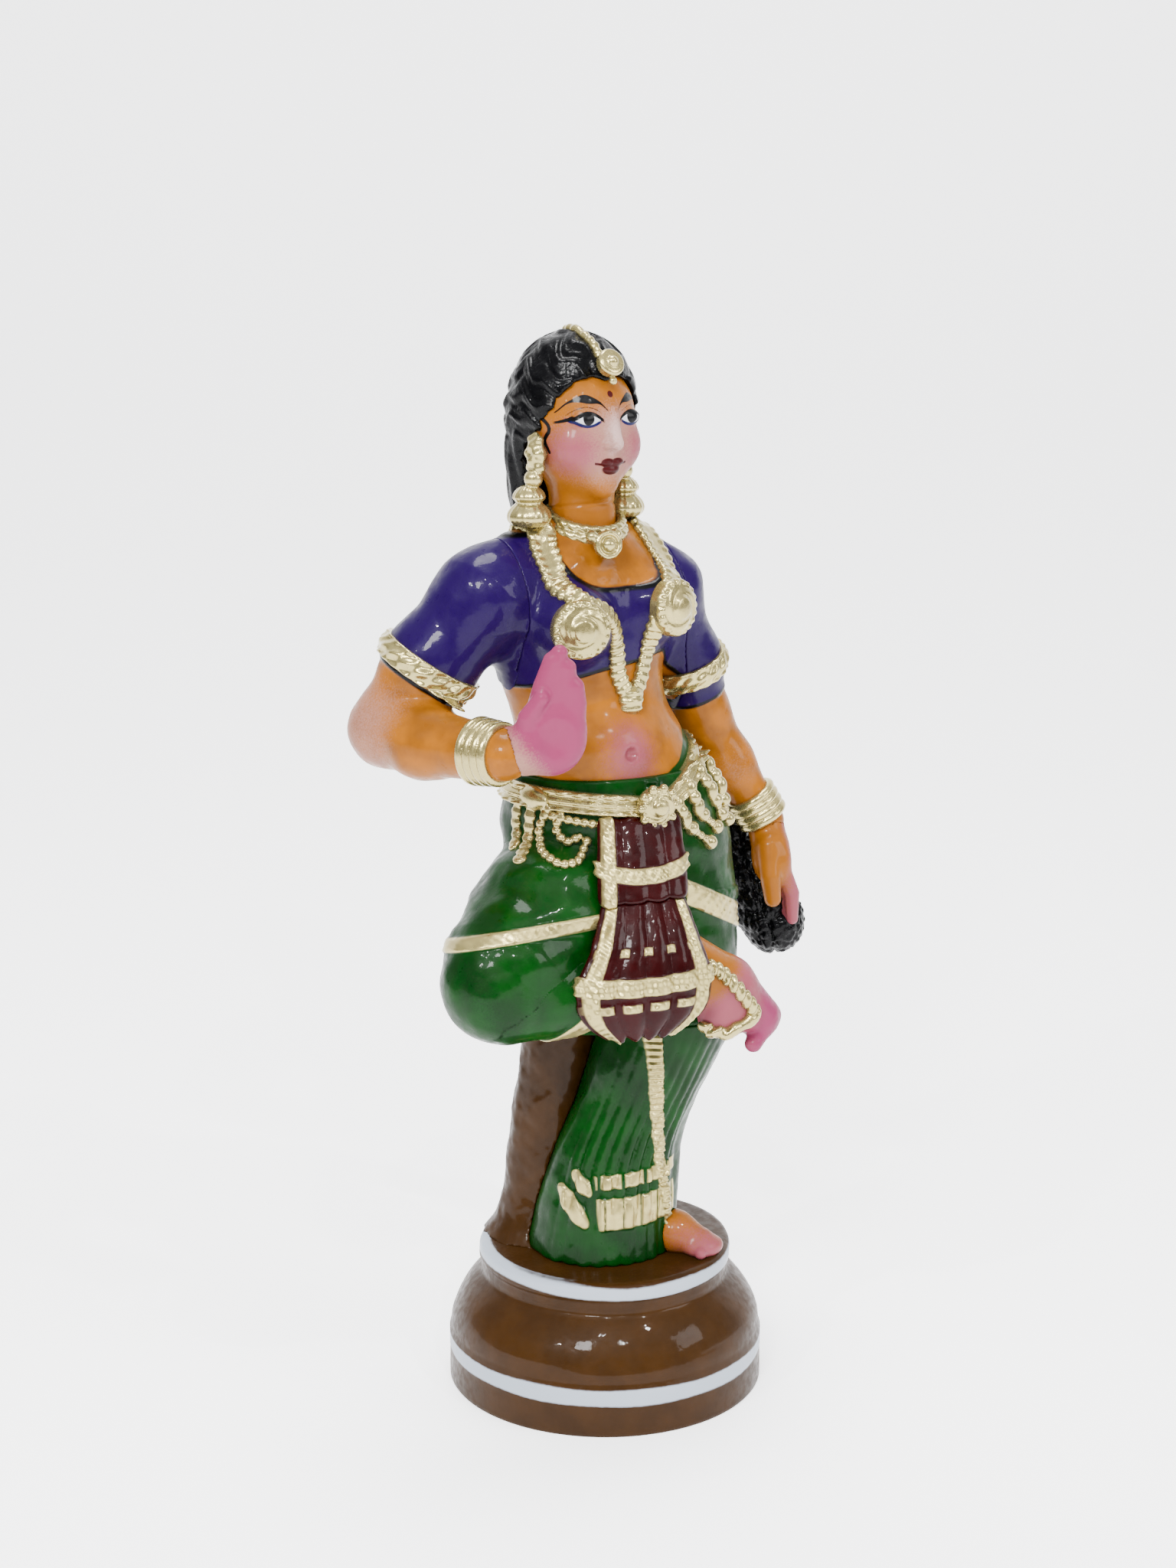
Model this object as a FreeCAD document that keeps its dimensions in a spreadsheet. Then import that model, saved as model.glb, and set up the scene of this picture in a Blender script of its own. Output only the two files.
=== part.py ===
"""A painted paper-clay dancing doll on a round plinth, built piece by piece.

Frame: millimetres, +Z up, origin at the centre of the plinth's underside. The doll faces -Y, so its own
left side is +X. It stands on its left leg in a flared drape, leans on a stump, and crosses its raised right
leg in front. Every moulded piece is a loft through named sections held in the spreadsheet; ornaments are
applied pieces whose backs follow the clay under them.
"""
import FreeCAD, Part
import math
import os
import Sketcher
from FreeCAD import Placement, Rotation, Vector

OUT = "parts"

# Plain sizes, in millimetres.
SIZES = {
    "plinth_radius": 45.0,
    "plinth_height": 41.0,
    "plinth_wall": 5.0,
    "plate_thick": 3.0,
    "rim_height": 14.5,
    "groove_height": 31.0,
    "groove_radius": 36.2,
    "step_radius": 35.5,
    "bulge_radius": 22.0,
    "wire_radius": 0.9,
    "peg_radius": 2.5,
    "band_rise": 1.3,
    "band_length": 8.5,
    "bangle_radius": 1.15,
    "bangle_pitch": 2.4,
    "bangle_slack": 0.6,
    "bangle_setback": 5.5,
    "chain_radius": 1.5,
    "tikka_radius": 3.6,
    "strand_radius": 2.3,
    "drop_radius": 3.6,
    "choker_radius": 11.6,
    "choker_tall": 4.6,
    "medal_radius": 3.8,
    "medal_thick": 6.5,
    "swag_radius": 1.8,
    "swag_ball_radius": 2.7,
    "swag_ball_drop": 2.0,
    "ear_leaf_wide": 3.2,
    "ear_leaf_deep": 4.2,
    "ear_leaf_tall": 6.5,
    "ear_stud_radius": 3.2,
    "bell_mouth_radius": 5.6,
    "bell_neck_radius": 2.4,
    "bell_tall": 12.0,
    "buckle_radius": 5.6,
    "buckle_thick": 3.2,
    "boss_radius": 3.0,
    "boss_rise": 4.8,
    "belt_rise_low": 0.9,
    "belt_rise_high": 3.2,
    "anklet_radius": 7.4,
    "anklet_thick": 1.7,
    "finger_radius": 2.6,
    "finger_spread": 3.6,
    "finger_step": 1.6,
    "disc_radius": 8.6,
    "disc_rise": 3.0,
    "window_tall": 21.0,
    "window_wide": 15.5,
    "window_deep": 17.0,
    "foot_space": 80.0,
    "skull_wide": 18.0,
    "skull_deep": 19.5,
    "skull_tall": 19.4,
    "face_wide": 14.6,
    "face_deep": 16.5,
    "face_tall": 19.0,
    "breast_radius": 9.6,
}

# Sections of the clay: centre x, y, z, half width and half depth, in millimetres.
SECTIONS = {
    # the stump the doll leans on
    "stump_foot": (-10.3, 15.6, 41.0, 16.0, 15.0),
    "stump_low": (-10.2, 15.0, 50.0, 13.4, 12.6),
    "stump_mid": (-9.6, 13.5, 72.0, 12.0, 11.5),
    "stump_high": (-7.9, 11.0, 98.0, 11.0, 10.6),
    "stump_top": (-6.1, 9.0, 126.0, 10.5, 10.0),
    # the drape round the standing leg, hem first
    "hem": (-2.5, -1.9, 41.0, 21.5, 20.5),
    "shin_cloth": (-0.9, -3.0, 58.0, 20.0, 18.5),
    "calf_cloth": (1.6, -4.8, 73.0, 18.4, 16.5),
    "under_knee": (5.9, -7.2, 85.0, 18.0, 16.0),
    "over_knee": (10.3, -9.7, 97.0, 19.5, 16.5),
    "thigh_low": (14.6, -11.2, 110.0, 20.0, 17.5),
    # hips
    "thigh_mid": (13.9, -9.0, 125.0, 21.5, 18.5),
    "thigh_top": (11.2, -6.0, 140.0, 25.5, 21.0),
    "hip_low": (6.9, -2.4, 152.0, 31.0, 24.0),
    "hip_wide": (3.6, -0.1, 162.0, 34.0, 25.0),
    "hip_high": (2.5, 0.1, 172.0, 33.0, 24.5),
    "hip_rim": (1.1, -0.2, 180.0, 28.5, 21.5),
    # raised right leg
    "raised_root": (-9.0, -3.0, 152.0, 21.0, 21.0),
    "raised_mid": (-28.0, -10.0, 142.0, 18.5, 19.5),
    "raised_low": (-43.0, -15.5, 133.5, 14.5, 16.5),
    "raised_knee": (-49.0, -17.5, 128.5, 12.5, 15.0),
    "shin_root": (-44.0, -21.0, 124.0, 11.5, 11.0),
    "shin_mid": (-20.0, -27.5, 125.5, 10.5, 10.5),
    "shin_low": (0.0, -31.0, 125.5, 9.0, 9.0),
    "ankle": (14.5, -32.5, 121.0, 6.6, 6.6),
    "foot_heel": (18.5, -33.5, 113.5, 7.0, 7.0),
    "foot_ball": (25.5, -36.5, 107.0, 6.5, 7.5),
    "foot_toe": (28.0, -37.5, 104.8, 4.0, 6.0),
    # standing left foot
    "heel": (7.5, -13.5, 46.0, 6.0, 5.0),
    "instep": (12.5, -21.5, 46.0, 6.6, 5.0),
    "toes": (18.5, -29.5, 44.4, 6.4, 3.4),
    # trunk of the body
    "belly_low": (0.8, -0.1, 180.0, 27.0, 20.5),
    "belly": (-1.4, 0.9, 189.0, 24.6, 18.8),
    "waist": (-4.0, 2.9, 198.0, 23.5, 16.6),
    "ribs": (-5.6, 3.8, 207.0, 24.8, 16.8),
    "chest": (-5.6, 3.7, 218.0, 27.0, 17.5),
    "armpits": (-5.4, 3.8, 228.0, 28.0, 16.5),
    "shoulder_line": (-5.1, 4.0, 236.0, 25.0, 13.5),
    "collar": (-4.8, 4.2, 242.0, 17.0, 11.0),
    "neck_root": (-4.5, 4.1, 246.5, 10.2, 9.8),
    "breast_right": (-18.0, -10.0, 222.5, 9.6, 9.6),
    "breast_left": (9.0, -6.5, 225.0, 9.4, 9.4),
    # neck and back hair
    "neck_low": (-4.4, 4.3, 242.0, 9.0, 8.8),
    "neck_high": (-5.4, 4.8, 262.0, 8.6, 8.6),
    "face": (-6.0, 4.0, 273.0, 14.6, 16.5),
    "skull": (-6.0, 7.5, 279.6, 18.0, 19.5),
    "hair_high": (-6.0, 12.5, 278.0, 17.5, 12.5),
    "hair_mid": (-6.0, 14.8, 264.0, 17.0, 11.0),
    "hair_nape": (-5.0, 18.0, 248.0, 13.5, 8.5),
    "hair_tail": (-4.0, 21.0, 238.0, 7.0, 6.0),
    # plait, nape first
    "plait_top": (-4.0, 22.0, 240.0, 6.0, 6.0),
    "plait_back": (2.0, 25.5, 214.0, 6.2, 6.2),
    "plait_waist": (14.0, 26.0, 192.0, 6.2, 6.2),
    "plait_hip": (32.0, 24.0, 173.0, 6.2, 6.2),
    "plait_side": (45.5, 14.0, 158.0, 6.2, 6.2),
    "plait_low": (54.5, 7.0, 140.0, 7.2, 7.2),
    "plait_tassel": (59.5, 2.0, 123.5, 9.2, 9.2),
    # right arm, bent with the palm raised
    "shoulder_right": (-37.5, 3.6, 230.5, 12.6, 12.6),
    "sleeve_right": (-50.0, 11.0, 212.0, 11.6, 11.6),
    "elbow_right": (-59.5, 17.5, 194.5, 9.8, 9.8),
    "forearm_right": (-57.0, 2.0, 193.0, 9.2, 9.2),
    "wrist_right": (-49.8, -25.0, 193.0, 6.6, 6.6),
    "palm_right": (-44.0, -28.5, 198.0, 9.5, 5.0),
    # left arm, hanging beside the plait
    "shoulder_left": (23.0, 4.8, 227.5, 10.8, 10.8),
    "sleeve_left": (33.2, 7.0, 205.0, 9.6, 9.6),
    "elbow_left": (38.5, 8.0, 189.0, 7.8, 7.8),
    "forearm_left": (46.5, 4.5, 174.0, 6.6, 6.6),
    "wrist_left": (56.6, 0.0, 156.5, 5.6, 5.6),
    "palm_left": (57.0, -4.5, 145.5, 4.6, 7.2),
    # pleated apron in two tiers, belt first
    "tier_top": (-4.8, -24.0, 170.0, 10.5, 2.6),
    "tier_mid": (-7.5, -28.5, 160.0, 11.5, 3.4),
    "tier_end": (-9.7, -32.0, 150.0, 12.0, 3.8),
    "fan_top": (-9.7, -30.5, 153.0, 10.5, 2.6),
    "fan_mid": (-12.8, -36.5, 140.0, 15.5, 3.8),
    "fan_wide": (-15.2, -39.0, 128.0, 19.5, 4.4),
    "fan_low": (-15.6, -39.5, 120.0, 16.5, 4.2),
    "fan_end": (-16.0, -39.0, 114.5, 8.0, 2.4),
}

# Ornament places: centre x, y, z, in millimetres.
PLACES = {
    "buckle": (-2.0, -25.4, 174.0),
    "pendant": (-6.5, -6.9, 243.6),
    "tikka": (-6.0, -9.5, 291.0),
    "ear_right": (-21.5, 3.0, 266.0),
    "ear_left": (8.7, 5.0, 266.0),
    "fingers_right_root": (-43.0, -29.5, 204.0),
    "fingers_right_tip": (-39.6, -31.5, 221.0),
    "thumb_right_tip": (-50.0, -27.0, 211.0),
    "fingers_left_tip": (59.5, -9.8, 128.5),
    "thumb_left_tip": (56.0, -12.5, 136.0),
    "leg_rod_foot": (6.0, -5.0, 35.0),
    "stump_peg_foot": (-10.0, 14.5, 35.0),
}

# Where the peg ends and the cut for the face lie from the point they start at, in millimetres.
NECK_PEG_DOWN, NECK_PEG_UP = Vector(0, 0, -12), Vector(0, 0, 6)
LEG_ROD_RUN = Vector(4, -2, 115)
STUMP_PEG_RUN = Vector(0.5, -1, 40)
WINDOW_SHIFT = Vector(0, -12, -6)
CHOKER_LEAN = Vector(0.04, 0.065, 1.0)
MEDAL_WAY = Vector(0, -0.98, 0.22)
STUD_DROP = Vector(0, -1.0, -5.5)
BELL_DROP = {"right": Vector(-1.5, 0.4, -18.5), "left": Vector(-1.0, 0.4, -18.5)}
FOOT_SPACE_CORNER = (-20.0, -60.0)

# The middles of the beaded loops under the belt, belt end first, in millimetres.
SWAG_LINES = {
    "right": [(-14.0, -22.5, 170.5), (-18.5, -22.5, 162.5), (-24.0, -19.0, 161.0), (-27.0, -14.5, 170.0)],
    "left": [(16.0, -24.5, 170.5), (20.5, -22.5, 163.0), (25.5, -19.0, 161.5), (30.5, -13.0, 169.5)],
}
NECKLACE_LINES = {
    "right": [(-15.5, 5.0, 242.0), (-13.5, -6.5, 236.5), (-10.0, -14.2, 226.0), (-7.0, -15.4, 214.0)],
    "left": [(6.5, 5.0, 242.0), (8.5, -5.5, 237.5), (2.5, -13.0, 227.0), (-0.5, -14.4, 214.0)],
}
NECKLACE_TIP = (-2.2, -14.6, 200.5)
CHAIN_LINE = [(-6.0, -9.5, 291.0), (-6.0, -4.0, 295.6), (-6.0, 3.0, 298.4), (-6.0, 9.0, 298.8)]
HAND_FORWARD = Vector(-0.25, -0.97, 0.0)
APRON_LIE = (1.0, -0.23, 0.0)
MIN_GAP = 1e-6


def make_sheets(doc):
    """The two spreadsheets that drive every size: plain sizes, then sections and places."""
    sizes = doc.addObject("Spreadsheet::Sheet", "Sizes")
    for row, (alias, value) in enumerate(SIZES.items(), start=1):
        sizes.set(f"A{row}", alias)
        sizes.set(f"B{row}", str(value))
        sizes.setAlias(f"B{row}", alias)
    form = doc.addObject("Spreadsheet::Sheet", "Form")
    row = 0
    for name, numbers in list(SECTIONS.items()) + list(PLACES.items()):
        for suffix, value in zip(("x", "y", "z", "wide", "deep"), numbers):
            row += 1
            form.set(f"A{row}", f"{name}_{suffix}")
            form.set(f"B{row}", str(value))
            form.setAlias(f"B{row}", f"{name}_{suffix}")
    doc.recompute()


def point(name):
    """A named section's or place's centre."""
    return Vector(*(SECTIONS.get(name) or PLACES[name])[:3])


def vectors(points):
    return [Vector(*spot) for spot in points]


def bind_place(item, name):
    """Puts an object's origin at a named point of the sheet."""
    for axis in "xyz":
        item.setExpression(f"Placement.Base.{axis}", f"Form.{name}_{axis}")


def turn(item, rotation):
    item.Placement = Placement(item.Placement.Base, rotation)


class Doll:
    """Small helpers that add bound objects to one document."""

    def __init__(self, doc):
        self.doc = doc

    def add(self, kind, name):
        return self.doc.addObject(kind, name)

    def ring(self, name, normal, lie=None):
        """An ellipse wire at a section. Its width runs across, or along lie, its depth the other way."""
        wide, deep = SECTIONS[name][3:5]
        ring = self.add("Part::Ellipse", f"{name}_ring")
        across = lie or Vector(0, 0, 1).cross(normal)
        if across.Length < MIN_GAP:
            across = Vector(1, 0, 0)
        elif abs(normal.z) > 0.85 * normal.Length and not lie:
            across = Vector(1, 0, 0) - normal * (normal.x / normal.Length**2)
        if deep > wide:
            across = normal.cross(across)
        ring.setExpression("MajorRadius", f"Form.{name}_{'deep' if deep > wide else 'wide'}")
        ring.setExpression("MinorRadius", f"Form.{name}_{'wide' if deep > wide else 'deep'}")
        turn(ring, Rotation(across, Vector(0, 0, 0), normal, "ZXY"))
        bind_place(ring, name)
        return ring

    def loft(self, name, sections, upright=False, lie=None):
        """A solid through the sections: level and smooth if upright, else square to a bent limb's path."""
        spots = [point(s) for s in sections]
        rings = []
        for i, section in enumerate(sections):
            before, after = spots[max(i - 1, 0)], spots[min(i + 1, len(spots) - 1)]
            normal = Vector(0, 0, 1) if upright else (after - before).normalize()
            rings.append(self.ring(section, normal, lie))
        loft = self.add("Part::Loft", name)
        loft.Sections = rings
        loft.Solid = True
        loft.Ruled = not upright
        return loft

    def ball(self, section):
        """A sphere of a section's width, to round the end of a loft."""
        ball = self.add("Part::Sphere", f"{section}_ball")
        ball.setExpression("Radius", f"Form.{section}_wide")
        bind_place(ball, section)
        return ball

    def egg(self, name, place, wide, deep, tall, rotation=None):
        """An ellipsoid; wide, deep and tall are expressions."""
        egg = self.add("Part::Ellipsoid", name)
        egg.Angle1, egg.Angle2, egg.Angle3 = -90, 90, 360
        egg.setExpression("Radius1", tall)
        egg.setExpression("Radius2", wide)
        egg.setExpression("Radius3", deep)
        if rotation:
            turn(egg, rotation)
        bind_place(egg, place)
        return egg

    def rod(self, name, start, end, radius):
        """A round bar between two points; radius is an expression."""
        rod = self.add("Part::Cylinder", name)
        rod.Height = (end - start).Length
        rod.setExpression("Radius", radius)
        rod.Placement = Placement(start, Rotation(Vector(0, 0, 1), end - start))
        return rod

    def hoop(self, name, centre, normal, ring, thick, angle=360.0):
        """A torus, or part of one, about an axis."""
        hoop = self.add("Part::Torus", name)
        hoop.Radius1 = ring
        hoop.setExpression("Radius2", thick)
        hoop.Angle3 = angle
        hoop.Placement = Placement(centre, Rotation(Vector(0, 0, 1), normal))
        return hoop

    def fuse(self, name, shapes):
        fuse = self.add("Part::MultiFuse", name)
        fuse.Shapes = shapes
        return fuse

    def cut(self, name, base, tools):
        """base without each of the tools in turn."""
        for i, tool in enumerate(tools):
            cut = self.add("Part::Cut", f"{name}_cut_{i}")
            cut.Base, cut.Tool = base, tool
            base = cut
        return base

    def tube(self, name, points, radius, tools=()):
        """A cord of clay laid along a smooth line through the points."""
        line = Part.BSplineCurve()
        line.interpolate(points)
        spine = Part.Wire([line.toShape()])
        start_way = line.tangent(line.FirstParameter)[0]
        circle = Part.Wire([Part.Circle(points[0], start_way, radius).toShape()])
        feature = self.add("Part::Feature", name)
        feature.Shape = spine.makePipeShell([circle], True, True)
        return self.cut(f"{name}_laid", feature, list(tools)) if tools else feature


def plinth(doll, holes):
    """The hollow stepped plinth: one profile turned about Z, then the two peg holes."""
    body = doll.add("PartDesign::Body", "PlinthBody")
    sketch = body.newObject("Sketcher::SketchObject", "PlinthProfile")
    plane = next(f for f in body.Origin.OriginFeatures if f.Role == "XZ_Plane")
    sketch.AttachmentSupport = [(plane, "")]
    sketch.MapMode = "FlatFace"
    wall = SIZES["plinth_wall"]
    outline = [
        ("plinth_radius", -wall, None, 0),
        ("plinth_radius", 0, None, 0),
        ("plinth_radius", 0, "rim_height", 0),
        ("groove_radius", 0, "groove_height", 0),
        ("step_radius", 0, "groove_height", 1.5),
        ("step_radius", 0, "plinth_height", -0.8),
        ("step_radius", -0.8, "plinth_height", 0),
        (None, 0, "plinth_height", 0),
        (None, 0, "plinth_height", -wall - 1),
        ("step_radius", -wall, "plinth_height", -wall - 1),
        ("groove_radius", -wall, "groove_height", -2),
        ("plinth_radius", -wall, "rim_height", -2),
    ]
    spots = [
        Vector(SIZES.get(across, 0) + x, SIZES.get(up, 0) + z, 0) for across, x, up, z in outline
    ]
    bulge = 2
    for i, spot in enumerate(spots):
        after = spots[(i + 1) % len(spots)]
        if i == bulge:
            chord = after - spot
            radius = SIZES["bulge_radius"]
            rise = math.sqrt(radius**2 - chord.Length**2 / 4)
            inward = Vector(-chord.y, chord.x, 0).normalize()
            centre = (spot + after) * 0.5 + inward * rise
            start, end = spot - centre, after - centre
            sketch.addGeometry(
                Part.ArcOfCircle(
                    Part.Circle(centre, Vector(0, 0, 1), radius),
                    math.atan2(start.y, start.x),
                    math.atan2(end.y, end.x),
                )
            )
        else:
            sketch.addGeometry(Part.LineSegment(spot, after))
    count = len(spots)
    for i in range(count):
        sketch.addConstraint(Sketcher.Constraint("Coincident", i, 2, (i + 1) % count, 1))
    for i, (across, x, up, z) in enumerate(outline):
        for kind, value, alias, shift in (
            ("DistanceX", spots[i].x, across, x),
            ("DistanceY", spots[i].y, up, z),
        ):
            number = sketch.addConstraint(Sketcher.Constraint(kind, -1, 1, i, 1, value))
            if alias:
                sketch.setExpression(f"Constraints[{number}]", f"Sizes.{alias} + {shift}")
    number = sketch.addConstraint(Sketcher.Constraint("Radius", bulge, SIZES["bulge_radius"]))
    sketch.setExpression(f"Constraints[{number}]", "Sizes.bulge_radius")
    doll.doc.recompute()
    turned = body.newObject("PartDesign::Revolution", "PlinthTurned")
    turned.Profile = sketch
    turned.ReferenceAxis = (sketch, ["V_Axis"])
    turned.Angle = 360
    body.Tip = turned
    doll.doc.recompute()
    return doll.cut("plinth", body, holes)


def wires_and_pegs(doll):
    """What the clay is pressed round: a bent wire in each arm, and pegs in the neck, leg and stump."""
    inner = {}
    for side, inward in (("right", 14.0), ("left", -14.0)):
        spots = [point(f"{part}_{side}") for part in ("shoulder", "elbow", "wrist", "palm")]
        spots.insert(0, spots[0] + Vector(inward, 0, 0))
        inner[f"{side}_arm_wire"] = doll.tube(f"{side}_arm_wire", spots, SIZES["wire_radius"])
    neck, head = point("neck_low"), point("neck_high")
    inner["neck_peg"] = doll.rod(
        "neck_peg", neck + NECK_PEG_DOWN, head + NECK_PEG_UP, "Sizes.peg_radius"
    )
    rod_foot, stump_foot = point("leg_rod_foot"), point("stump_peg_foot")
    inner["leg_rod"] = doll.rod(
        "leg_rod", rod_foot, rod_foot + LEG_ROD_RUN, "Sizes.peg_radius"
    )
    inner["stump_peg"] = doll.rod(
        "stump_peg", stump_foot, stump_foot + STUMP_PEG_RUN, "Sizes.peg_radius"
    )
    return inner


def hand(doll, side, forearm, wire):
    """A palm with four fingers held together and a thumb."""
    palm = point(f"palm_{side}")
    tip = point(f"fingers_{side}_tip")
    thumb = point(f"thumb_{side}_tip")
    wrist = point(f"wrist_{side}")
    along = (tip - palm).normalize()
    across = along.cross(HAND_FORWARD if side == "right" else Vector(1, 0.4, 0)).normalize()
    facing = across.cross(along)
    palm_egg = doll.egg(
        f"{side}_palm",
        f"palm_{side}",
        f"max(Form.palm_{side}_wide; Form.palm_{side}_deep)",
        f"min(Form.palm_{side}_wide; Form.palm_{side}_deep)",
        f"max(Form.palm_{side}_wide; Form.palm_{side}_deep) * 1.2",
        Rotation(across, facing, along, "ZXY"),
    )
    pieces = [palm_egg]
    for i in range(4):
        shift = (i - 1.5) * SIZES["finger_spread"]
        root = palm + across * shift * 0.9 + along * 4
        end = tip + across * shift * 0.6 - along * abs(i - 1) * SIZES["finger_step"]
        pieces.append(doll.rod(f"{side}_finger_{i}", root, end, "Sizes.finger_radius"))
        nail = doll.add("Part::Sphere", f"{side}_fingertip_{i}")
        nail.setExpression("Radius", "Sizes.finger_radius")
        nail.Placement.Base = end
        pieces.append(nail)
    pieces.append(doll.rod(f"{side}_thumb", palm, thumb, "Sizes.finger_radius"))
    thumb_end = doll.add("Part::Sphere", f"{side}_thumb_tip")
    thumb_end.setExpression("Radius", "Sizes.finger_radius")
    thumb_end.Placement.Base = thumb
    pieces.append(thumb_end)
    neck = doll.rod(f"{side}_hand_neck", wrist, palm, f"Form.wrist_{side}_wide * 0.72")
    pieces.append(neck)
    return doll.cut(f"{side}_hand", doll.fuse(f"{side}_hand_form", pieces), [forearm, wire])


def arm(doll, side, torso, wire):
    """Upper arm, elbow and forearm as one moulded piece, bored for its wire."""
    upper = doll.loft(f"{side}_upper", [f"shoulder_{side}", f"sleeve_{side}", f"elbow_{side}"])
    lower = doll.loft(f"{side}_lower", [f"elbow_{side}", f"forearm_{side}", f"wrist_{side}"])
    form = doll.fuse(
        f"{side}_arm_form",
        [upper, lower, doll.ball(f"shoulder_{side}"), doll.ball(f"elbow_{side}")],
    )
    return form, doll.cut(f"{side}_arm", form, [torso, wire])


def band(doll, name, section, toward, core):
    """A flat band round a limb at a section."""
    way = (point(toward) - point(section)).normalize()
    spot, length = point(section), SIZES["band_length"]
    radius = f"Form.{section}_wide + Sizes.band_rise"
    outer = doll.rod(f"{name}_outer", spot - way * length * 0.5, spot + way * length * 0.5, radius)
    return doll.cut(name, outer, [core])


def bangles(doll, side, core, count=4):
    """Separate rings side by side on the wrist."""
    way = (point(f"wrist_{side}") - point(f"forearm_{side}")).normalize()
    middle = point(f"wrist_{side}") - way * SIZES["bangle_setback"]
    rings = []
    for i in range(count):
        spot = middle + way * (i - (count - 1) / 2) * SIZES["bangle_pitch"]
        radius = SECTIONS[f"wrist_{side}"][3] + SIZES["bangle_slack"] - 0.15 * i
        rings.append(doll.hoop(f"{side}_bangle_{i}", spot, way, radius, "Sizes.bangle_radius"))
    return doll.cut(f"{side}_bangles", doll.fuse(f"{side}_bangle_set", rings), [core])


def swag(doll, side, tools):
    """A beaded loop that hangs from the belt, with a tassel ball under it."""
    line = vectors(SWAG_LINES[side])
    loop = doll.tube(f"{side}_swag_loop", line, SIZES["swag_radius"])
    ball = doll.add("Part::Sphere", f"{side}_swag_ball")
    ball.setExpression("Radius", "Sizes.swag_ball_radius")
    ball.Placement.Base = (line[1] + line[2]) * 0.5 - Vector(0, 0, SIZES["swag_ball_drop"])
    return doll.cut(f"{side}_belt_swag", doll.fuse(f"{side}_swag_form", [loop, ball]), tools)


def earring(doll, side, tools):
    """A bell-shaped drop under a stud, with a leaf that covers the ear."""
    ear = point(f"ear_{side}")
    leaf_sizes = [f"Sizes.ear_leaf_{way}" for way in ("wide", "deep", "tall")]
    leaf = doll.egg(f"{side}_ear_leaf", f"ear_{side}", *leaf_sizes)
    stud = doll.add("Part::Sphere", f"{side}_ear_stud")
    stud.setExpression("Radius", "Sizes.ear_stud_radius")
    stud.Placement.Base = ear + STUD_DROP
    bell = doll.add("Part::Cone", f"{side}_ear_bell")
    bell.setExpression("Radius1", "Sizes.bell_mouth_radius")
    bell.setExpression("Radius2", "Sizes.bell_neck_radius")
    bell.setExpression("Height", "Sizes.bell_tall")
    bell.Placement.Base = ear + BELL_DROP[side]
    return doll.cut(f"{side}_earring", doll.fuse(f"{side}_earring_form", [leaf, stud, bell]), tools)


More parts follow.
